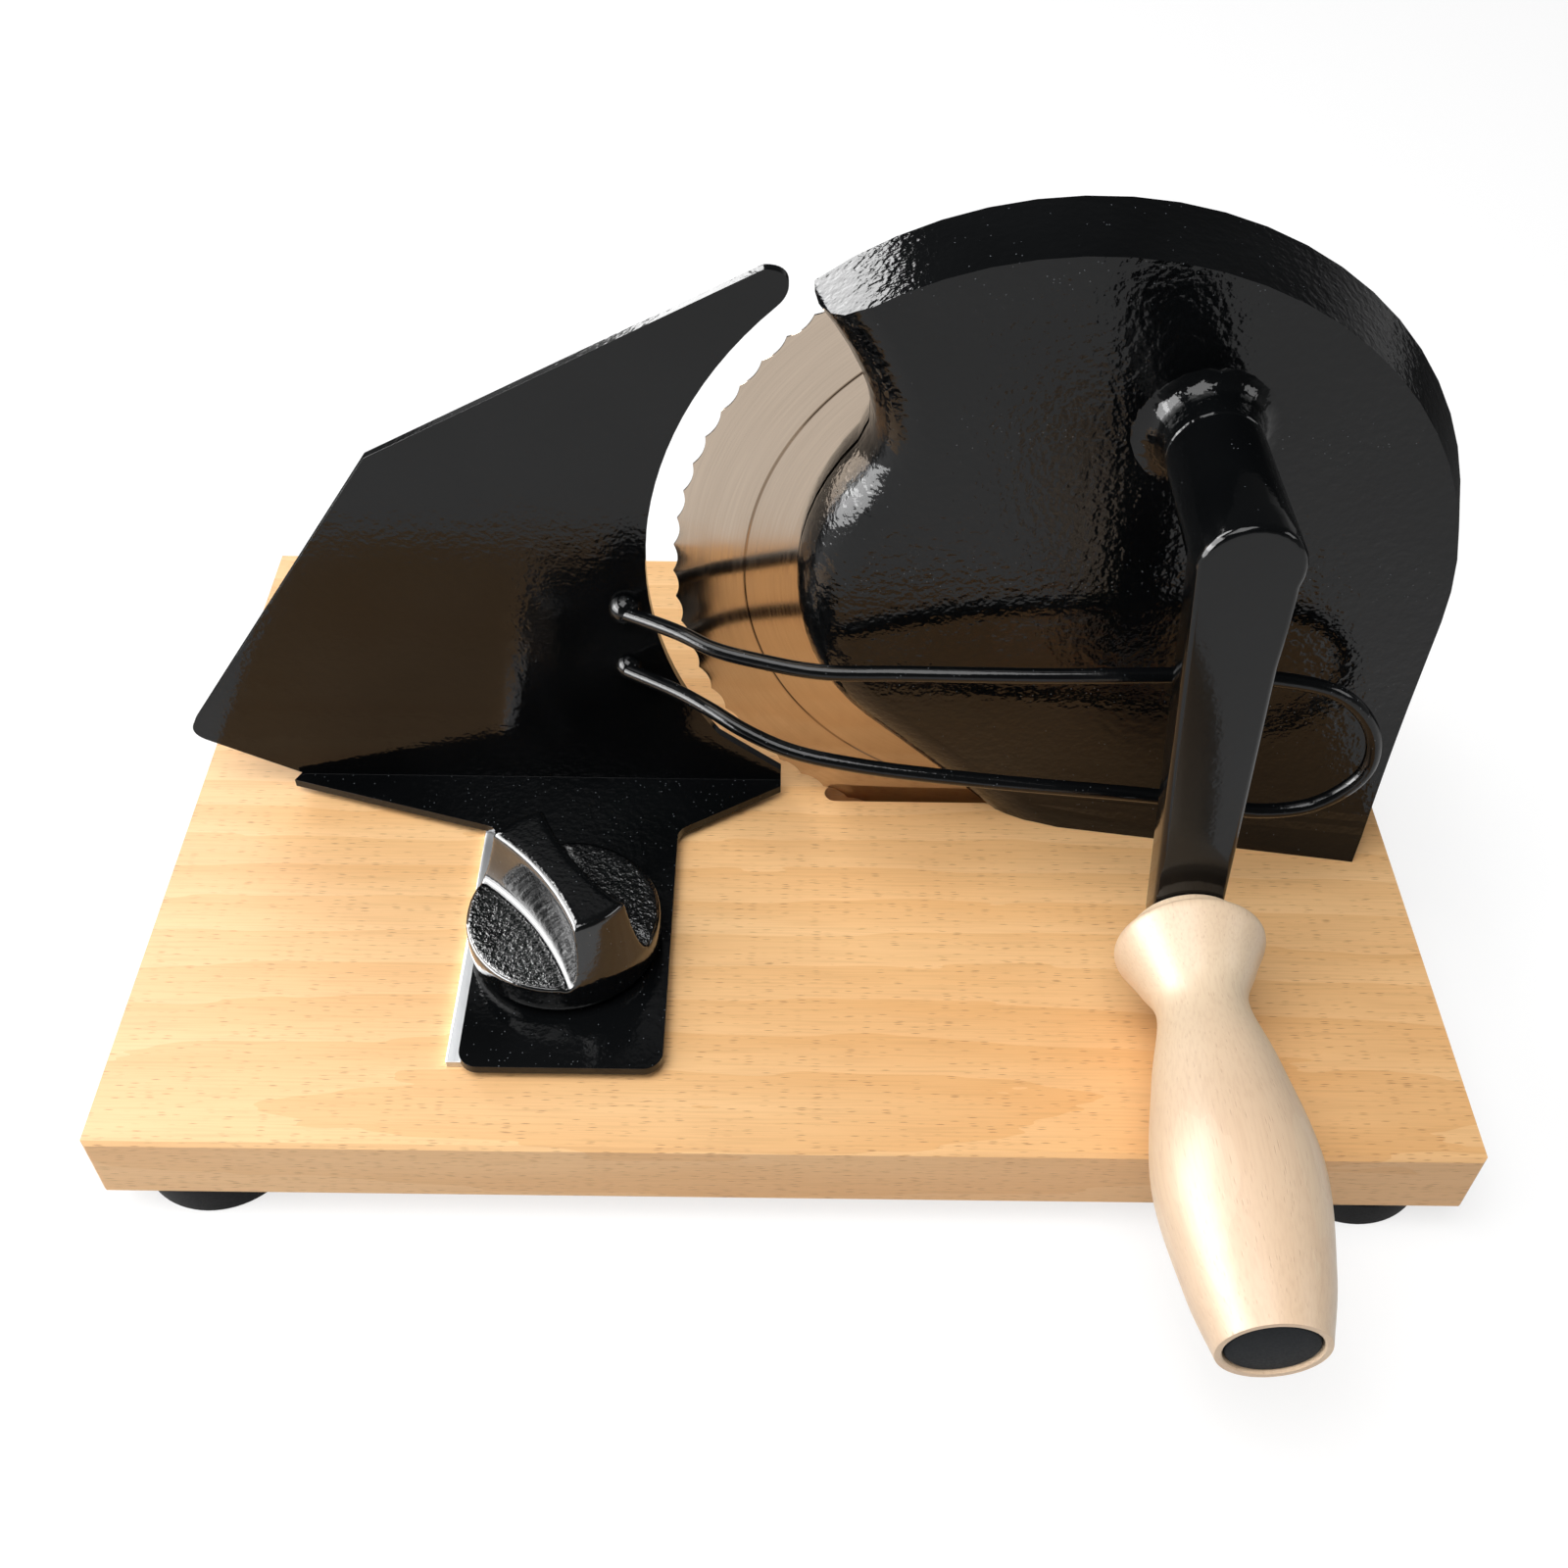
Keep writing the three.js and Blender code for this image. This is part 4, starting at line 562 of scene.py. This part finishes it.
def arc(centre, radius, start, stop, steps):
    """Points in a plane along an arc, its angles in degrees."""
    turns = [math.radians(start + (stop - start) * i / steps) for i in range(steps + 1)]
    return [(centre[0] + radius * math.cos(t), centre[1] + radius * math.sin(t)) for t in turns]


def curve(a, b, c, steps):
    """Points in a plane along a quadratic curve."""

    def between(s):
        weights = ((1 - s) ** 2, 2 * s * (1 - s), s * s)
        return tuple(sum(w * v for w, v in zip(weights, values)) for values in zip(a, b, c))

    return [between(i / steps) for i in range(steps + 1)]


# Pieces that are made anew, in metres where nothing else is said.

def make_foot(node):
    """A rubber foot: tapered to a rounded sole, with a screw's bore and recess."""
    low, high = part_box(node)
    centre, top = (low + high) / 2, high.z
    radius = (high.x - low.x) / 2
    bore, recess, ledge = 0.0023, 0.0051, (low.z + high.z) / 2 + 0.0015
    taper, sole_edge, top_edge = 0.0005, 0.0012, 0.0008
    profile = [(bore, top), (bore, ledge), (recess, ledge), (recess, low.z)]
    profile += arc((radius - taper - sole_edge, low.z + sole_edge), sole_edge, -90, 0, 5)
    profile += arc((radius - top_edge, top - top_edge), top_edge, 0, 90, 5)
    return mesh_piece(node + "_finish", lathe(profile + [(bore, top)], centre, "z", 72))


# The grip's outline: radius (mm) and share of the length from the crank end to the cap end.
GRIP_OUTLINE = [
    (14.4, 0.026), (17.3, 0.040), (18.2, 0.062), (14.55, 0.133), (10.9, 0.23),
    (14.85, 0.4), (18.8, 0.64), (15.86, 0.86), (12.4, 0.985), (11.8, 1.0),
]


def make_grip():
    """The turned grip, with a bore for its spindle and a recess for its cap."""
    low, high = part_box("handle_grip")
    length = high.y - low.y
    stations = [Vector((r / 1000, high.y - share * length)) for r, share in GRIP_OUTLINE]
    side = [(point.x, max(point.y, low.y)) for point in through(stations, 9, True)]
    bore, bore_end = 0.00435, high.y - 0.03
    face_radius, face_edge = 0.0136, 0.0004
    recess, recess_edge, floor = 0.0103, 0.0003, low.y + 0.0083
    profile = [
        (0, bore_end), (bore, bore_end), (bore, high.y),
        (face_radius, high.y), (face_radius + face_edge, high.y - face_edge),
        *side,
        (recess + recess_edge, low.y), (recess, low.y + recess_edge), (recess, floor), (0, floor),
    ]
    return mesh_piece("handle_grip_finish", lathe(profile, (low + high) / 2, "y", 96))


def make_cap():
    low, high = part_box("handle_cap")
    radius, edge = (high.x - low.x) / 2, 0.0008
    rounded = arc((radius - edge, low.y + edge), edge, -90, 0, 5)
    profile = [(0, low.y), *rounded, (radius, high.y), (0, high.y)]
    return mesh_piece("handle_cap_finish", lathe(profile, (low + high) / 2, "y", 72))


# The slice guard's route in board coordinates (mm), from its upper bead to its lower one.
GUARD_ROUTE = [
    (-43.3, 117.7, 68.4), (-29, 108.5, 70), (-19.5, 103, 69.2), (-8, 99, 69), (7.5, 95, 69.2),
    (28.5, 91.5, 72.2), (60, 88.5, 74.7), (118, 88.2, 75.1), (136.3, 87.8, 70),
    (146.7, 87.2, 57.6), (147.7, 86.4, 45), (138.3, 85.6, 34.4), (124, 85.2, 31.4),
    (100, 85, 36), (50, 85.5, 41), (18, 87.5, 43.8), (0, 91, 45.5), (-12, 96, 47.8),
    (-21, 102, 49.4), (-30, 109, 49.2), (-43.3, 117.7, 48.4),
]
WIRE_RADIUS, UPPER_BEAD, LOWER_BEAD = 0.002, 0.0042, 0.0034
FENCE_FRONT = 119.7


def make_guard():
    """The wire hairpin and the two weld beads that hold it on the fence."""
    route = through([at(*stop) for stop in GUARD_ROUTE], 12, False)
    wire = swept(route, WIRE_RADIUS, 16)
    beads = []
    for (x, _, z), radius in ((GUARD_ROUTE[0], UPPER_BEAD), (GUARD_ROUTE[-1], LOWER_BEAD)):
        place = at(x, FENCE_FRONT, z)
        dome = [(r, place.y - h) for r, h in arc((0, 0), radius, 90, 0, 8)]
        beads.append(lathe([*dome, (0, place.y)], place, "y", 32))
    return mesh_piece("slice_guard_finish", wire, *beads)


TEETH, STEPS_PER_TOOTH = 72, 12
BLADE_BORE, BLADE_EDGE, SCALLOP, BLADE_THICKNESS = 0.0103, 0.0953, 0.0011, 0.0012


def make_blade():
    """The round blade: a flat disc, a ground bevel behind a fine step, and a scalloped edge."""
    front, back = BLADE_AXIS.y, BLADE_AXIS.y + BLADE_THICKNESS
    profiles = []
    for i in range(TEETH * STEPS_PER_TOOTH):
        turn = 2 * math.pi * i / (TEETH * STEPS_PER_TOOTH)
        share = i % STEPS_PER_TOOTH / STEPS_PER_TOOTH
        edge = BLADE_EDGE - SCALLOP * 4 * share * (1 - share)
        rows = [
            (BLADE_BORE, front), (0.045, front), (0.077, front),
            (0.0773, front + 0.00015), (0.086, front + 0.0004), (0.0935, front + 0.00062),
            (edge, back - 0.0005), (edge, back), (0.0935, back), (BLADE_BORE, back),
        ]
        across, up = math.cos(turn), math.sin(turn)
        row = [(BLADE_AXIS.x + r * across, y, BLADE_AXIS.z + r * up) for r, y in rows]
        profiles.append(row)
    return mesh_piece("blade_finish", turned(profiles, True), sharp=20.0)


# The knob's coves: a section that is swept past the grip bar along a bow.
KNOB_TURN, KNOB_FLOOR = math.radians(37.0), 0.0107
COVE_STEPS, COVE_REACH, COVE_BOW = 32, 0.04, 0.15


def knob_body(centre, bottom, top, floor):
    """The round body before its coves are cut, with a bore for the insert and a seat below it."""
    bore, bore_top, seat, seat_top = 0.0058, bottom + 0.0135, 0.0103, bottom + 0.0016
    girth, foot_edge, shoulder, top_edge = 0.025, 0.0035, 0.0195, 0.0015
    profile = [(0, bore_top), (bore, bore_top), (bore, seat_top), (seat, seat_top), (seat, bottom)]
    profile += arc((girth - foot_edge, bottom + foot_edge), foot_edge, -90, 0, 8)
    profile += [(girth, floor), *arc((shoulder, top - top_edge), top_edge, 10, 90, 6), (0, top)]
    return mesh_piece("clamp_knob_finish", lathe(profile, centre, "z", 128))


def cove_section(floor, top):
    """What is cut away beside the grip bar, as (distance from the bar's middle, height)."""
    crest, wall, wall_top = 0.0030, 0.0050, top - 0.0020
    outside, above = 0.05, top + 0.001
    section = [(outside, floor), (outside, above), (crest, above)]
    section += curve((crest, top), (wall, top), (wall, wall_top), 6)
    section += curve((wall, wall_top - 0.0001), (wall, floor), (0.0093, floor - 0.0008), 14)
    return section + [(0.0108, floor)]


def cove_shell(section, centre, side):
    """One cove's room, on one side (1 or -1) of the grip bar."""
    cos, sin = math.cos(KNOB_TURN), math.sin(KNOB_TURN)
    rows = []
    for i in range(COVE_STEPS + 1):
        reach = -COVE_REACH + 2 * COVE_REACH * i / COVE_STEPS
        row = []
        for distance, z in section:
            w, v = side * (distance + reach * reach / COVE_BOW), side * reach
            row.append((centre.x + w * cos - v * sin, centre.y + w * sin + v * cos, z))
        rows.append(row)
    points, faces = turned(rows, True)
    count = len(section)
    last = COVE_STEPS * count
    return points, faces[:last] + [tuple(range(count)), tuple(range(last, last + count))]


def carve(piece, shell):
    """Cuts a shell's room out of a piece."""
    cutter = mesh_piece("cove", shell)
    cut = piece.modifiers.new("cove", "BOOLEAN")
    cut.operation = "DIFFERENCE"
    cut.solver = "EXACT"
    cut.object = cutter
    worked_in(piece)
    bpy.data.objects.remove(cutter)


def soften(piece):
    """Rounds all edges of a piece like those of a casting."""
    skin = piece.modifiers.new("skin", "REMESH")
    skin.mode = "VOXEL"
    skin.voxel_size = 0.00045
    skin.use_smooth_shade = True
    smooth = piece.modifiers.new("soften", "SMOOTH")
    smooth.factor = 0.5
    smooth.iterations = 20
    worked_in(piece)


def make_knob():
    """The clamp knob: a round body with a cove on each side of its grip bar."""
    low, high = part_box("clamp_knob")
    centre, floor = (low + high) / 2, low.z + KNOB_FLOOR
    knob = knob_body(centre, low.z, high.z, floor)
    for side in (1, -1):
        carve(knob, cove_shell(cove_section(floor, high.z), centre, side))
    soften(knob)
    return knob


# The housing's front face in board coordinates (mm): it leans a little and twists out into its foot.
FACE_Y, FACE_LEAN, FACE_LEAN_Z = 101.5, 0.02, 80.0
FOOT_TWIST, FOOT_TWIST_X, FLARE_HEIGHT = 0.16, 112.0, 60.0
WALL, SIDE_DRAFT, HOUSING_ROUNDING = 4.0, 0.3, 0.0006
# The CAD's facets stray from the face in this part of it, by this much (mm).
STRAY_X, STRAY_Z, ON_FACE, FARTHEST_STRAY = 140.0, 62.0, 0.02, 1.2
FOOT_SOLE = 0.1


def flare(z):
    return max(0.0, 1 - max(0.0, z) / FLARE_HEIGHT)


def face_depth(x, z):
    lean = FACE_LEAN * (z - FACE_LEAN_Z)
    return FACE_Y - lean - FOOT_TWIST * (x - FOOT_TWIST_X) * flare(z) ** 2


def face_normal(x, z):
    slope = 2 * FOOT_TWIST * (x - FOOT_TWIST_X) * flare(z) / FLARE_HEIGHT - FACE_LEAN
    return Vector((-FOOT_TWIST * flare(z) ** 2, -1, slope)).normalized()


def lay_on_face(mesh):
    """Lays the corners that stray on the face, or on the inside of its wall."""
    for vertex in mesh.vertices:
        x, y, z = in_board(vertex.co)
        if x <= STRAY_X or z >= STRAY_Z:
            continue
        for lift in (0.0, WALL):
            off = face_depth(x, z) + lift - y
            if ON_FACE < abs(off) < FARTHEST_STRAY:
                drift = SIDE_DRAFT * off if z > FOOT_SOLE else 0.0
                vertex.co = at(x + drift, y + off, z)


def shade_face(mesh):
    """Gives the face and the inside of its wall the normals of the face's formula."""
    normals = [corner.vector.copy() for corner in mesh.corner_normals]
    for face in mesh.polygons:
        if abs(face.normal.y) < 0.8:
            continue
        side, lift = (1, 0.0) if face.normal.y < 0 else (-1, WALL)
        spots = [in_board(mesh.vertices[v].co) for v in face.vertices]
        if all(abs(p.y - lift - face_depth(p.x, p.z)) < ON_FACE for p in spots):
            for loop, p in zip(face.loop_indices, spots):
                normals[loop] = side * face_normal(p.x, p.z)
    mesh.normals_split_custom_set(normals)


def make_housing():
    """The housing, with the facets of its twisted face laid on the face's own formula."""
    piece = refined("housing", HOUSING_ROUNDING)
    lay_on_face(piece.data)
    shade_face(worked_in(piece))
    return piece


made = {
    "handle_grip": make_grip,
    "handle_cap": make_cap,
    "slice_guard": make_guard,
    "blade": make_blade,
    "clamp_knob": make_knob,
    "housing": make_housing,
}
ROUNDING = {
    "base_board": 0.0007, "crank_arm": 0.0004, "fence_plate": 0.0004, "guide_strip": 0.0003,
}
SHARP_ANGLE = {"crank_arm": 50.0}
for node in nodes:
    if node in made:
        dress(made[node](), node)
    elif slot_of[node] == "rubber":
        dress(make_foot(node), node)
    else:
        dress(refined(node, ROUNDING.get(node, 0.0), SHARP_ANGLE.get(node, 30.0)), node)


# Stage: a pale floor that keeps the shadow, light from above, the left and the back, and a sky.

FLOOR_SIZE = 1.3
FLOOR_BOUNCE, FLOOR_SHADOW, FLOOR_GLOW, FLOOR_DARK = 0.65, 0.30, 0.73, 0.04
DARK_FROM_Y, DARK_BY_Y = 0.0, 0.12
SKY_COLOUR, SKY_AMBIENT = (0.97, 0.98, 1.0, 1), 0.18
SKY_HORIZON, SKY_TOP, SKY_TOP_Z = 0.28, 0.056, 0.30
DIRECT = ("Camera", "Glossy", "Transmission")


def floor_material():
    """A floor seen near white that bounces less light; in mirrors it is dark behind the slicer."""
    material = bpy.data.materials.new("pale_floor")
    material.use_nodes = True
    material.node_tree.nodes.clear()
    graph = Graph(material.node_tree)

    def matt(level):
        return graph.add("ShaderNodeBsdfDiffuse", {"Color": (level, level, level, 1)}).outputs[0]

    glow = graph.add("ShaderNodeEmission", {"Strength": FLOOR_GLOW}).outputs[0]
    shown = graph.add("ShaderNodeAddShader", {0: matt(FLOOR_SHADOW), 1: glow}).outputs[0]
    floor = graph.blend(graph.rays(*DIRECT), matt(FLOOR_BOUNCE), shown)
    place = graph.parts(graph.add("ShaderNodeTexCoord").outputs["Object"])
    behind = graph.span(place["Y"], DARK_FROM_Y, DARK_BY_Y)
    mirrored = graph.times(behind, graph.rays("Glossy"))
    surface = graph.blend(mirrored, floor, matt(FLOOR_DARK))
    graph.add("ShaderNodeOutputMaterial", {"Surface": surface})
    return material


def make_floor():
    size = FLOOR_SIZE
    corners = [(-size, -size, 0), (size, -size, 0), (size, size, 0), (-size, size, 0)]
    floor = mesh_piece("floor", (corners, [(0, 1, 2, 3)]))
    floor.data.materials.append(floor_material())


def make_world():
    """A sky that lights evenly, is seen white, and in mirrors fades with height."""
    world = bpy.data.worlds.new("studio")
    bpy.context.scene.world = world
    world.use_nodes = True
    world.node_tree.nodes.clear()
    graph = Graph(world.node_tree)

    def sky(colour, strength):
        inputs = {"Color": colour, "Strength": strength}
        return graph.add("ShaderNodeBackground", inputs).outputs[0]

    direction = graph.parts(graph.add("ShaderNodeTexCoord").outputs["Generated"])
    fade = graph.span(direction["Z"], 0.0, SKY_TOP_Z, SKY_HORIZON, SKY_TOP)
    shown = sky((1, 1, 1, 1), graph.calc("MAXIMUM", fade, graph.rays("Camera")))
    surface = graph.blend(graph.rays(*DIRECT), sky(SKY_COLOUR, SKY_AMBIENT), shown)
    graph.add("ShaderNodeOutputWorld", {"Surface": surface})


def make_lamp(name, place, aim, size, power, lights_matt=True, lights_gloss=True):
    lamp = bpy.data.lights.new(name, "AREA")
    lamp.shape = "RECTANGLE"
    lamp.size, lamp.size_y = size
    lamp.energy = power
    holder = bpy.data.objects.new(name, lamp)
    holder.location = place
    towards = Vector(aim) - Vector(place)
    holder.rotation_euler = towards.to_track_quat("-Z", "Y").to_euler()
    holder.visible_camera = False
    holder.visible_diffuse = lights_matt
    holder.visible_glossy = lights_gloss
    bpy.context.scene.collection.objects.link(holder)


def make_lamps():
    """Daylight from above and the left, and cards that only show in glossy surfaces."""
    make_lamp(
        "key", place=(-0.35, -0.38, 1.45), aim=(0.0, 0.0, 0.10), size=(1.1, 1.0), power=22.3,
    )
    make_lamp(
        "left_soft", place=(-1.25, -0.65, 0.75), aim=(0.0, 0.0, 0.05), size=(1.2, 1.0), power=7.5,
        lights_gloss=False,
    )
    make_lamp(
        "left_window", place=(-1.50, -0.10, 0.74), aim=(0.0, 0.0, 0.14), size=(2.1, 0.98),
        power=84.0, lights_matt=False,
    )
    make_lamp(
        "left_card", place=(-0.85, -0.12, 0.20), aim=(0.0, 0.0, 0.15), size=(1.2, 0.40),
        power=19.0, lights_matt=False,
    )
    make_lamp(
        "back_window", place=(-1.10, 1.50, 0.78), aim=(0.0, 0.03, 0.16), size=(0.85, 0.65),
        power=17.0,
    )
    make_lamp(
        "knob_card", place=(-1.05, 0.82, 1.06), aim=(0.02, 0.02, 0.20), size=(0.55, 0.75),
        power=20.0, lights_matt=False,
    )
    make_lamp(
        "right_card", place=(1.50, -0.40, 0.80), aim=(0.09, 0.0, 0.17), size=(0.7, 0.5),
        power=4.5, lights_matt=False,
    )


# The photograph's viewpoint, solved from the board's corners and the blade's outline.
CAMERA_PLACE = Vector((-0.0039, -0.2986, 0.3809))
PITCH, YAW, ROLL = math.radians(45.735), math.radians(0.486), math.radians(-1.117)
FOCAL_LENGTH, SENSOR_WIDTH, CLIP_START = 38.316, 36.0, 0.01


def make_camera():
    data = bpy.data.cameras.new("camera")
    data.sensor_width = SENSOR_WIDTH
    data.lens = FOCAL_LENGTH
    data.clip_start = CLIP_START
    camera = bpy.data.objects.new("camera", data)
    bpy.context.scene.collection.objects.link(camera)
    level_ahead = Vector((math.sin(YAW), math.cos(YAW), 0)) * math.cos(PITCH)
    ahead = level_ahead - Vector((0, 0, math.sin(PITCH)))
    level = Vector((math.cos(YAW), -math.sin(YAW), 0))
    down = ahead.cross(level)
    right = math.cos(ROLL) * level + math.sin(ROLL) * down
    below = -math.sin(ROLL) * level + math.cos(ROLL) * down
    matrix = Matrix((right, -below, -ahead)).transposed().to_4x4()
    matrix.translation = CAMERA_PLACE
    camera.matrix_world = matrix
    bpy.context.scene.camera = camera


make_floor()
make_world()
make_lamps()
make_camera()
bpy.context.scene.view_settings.view_transform = "Standard"
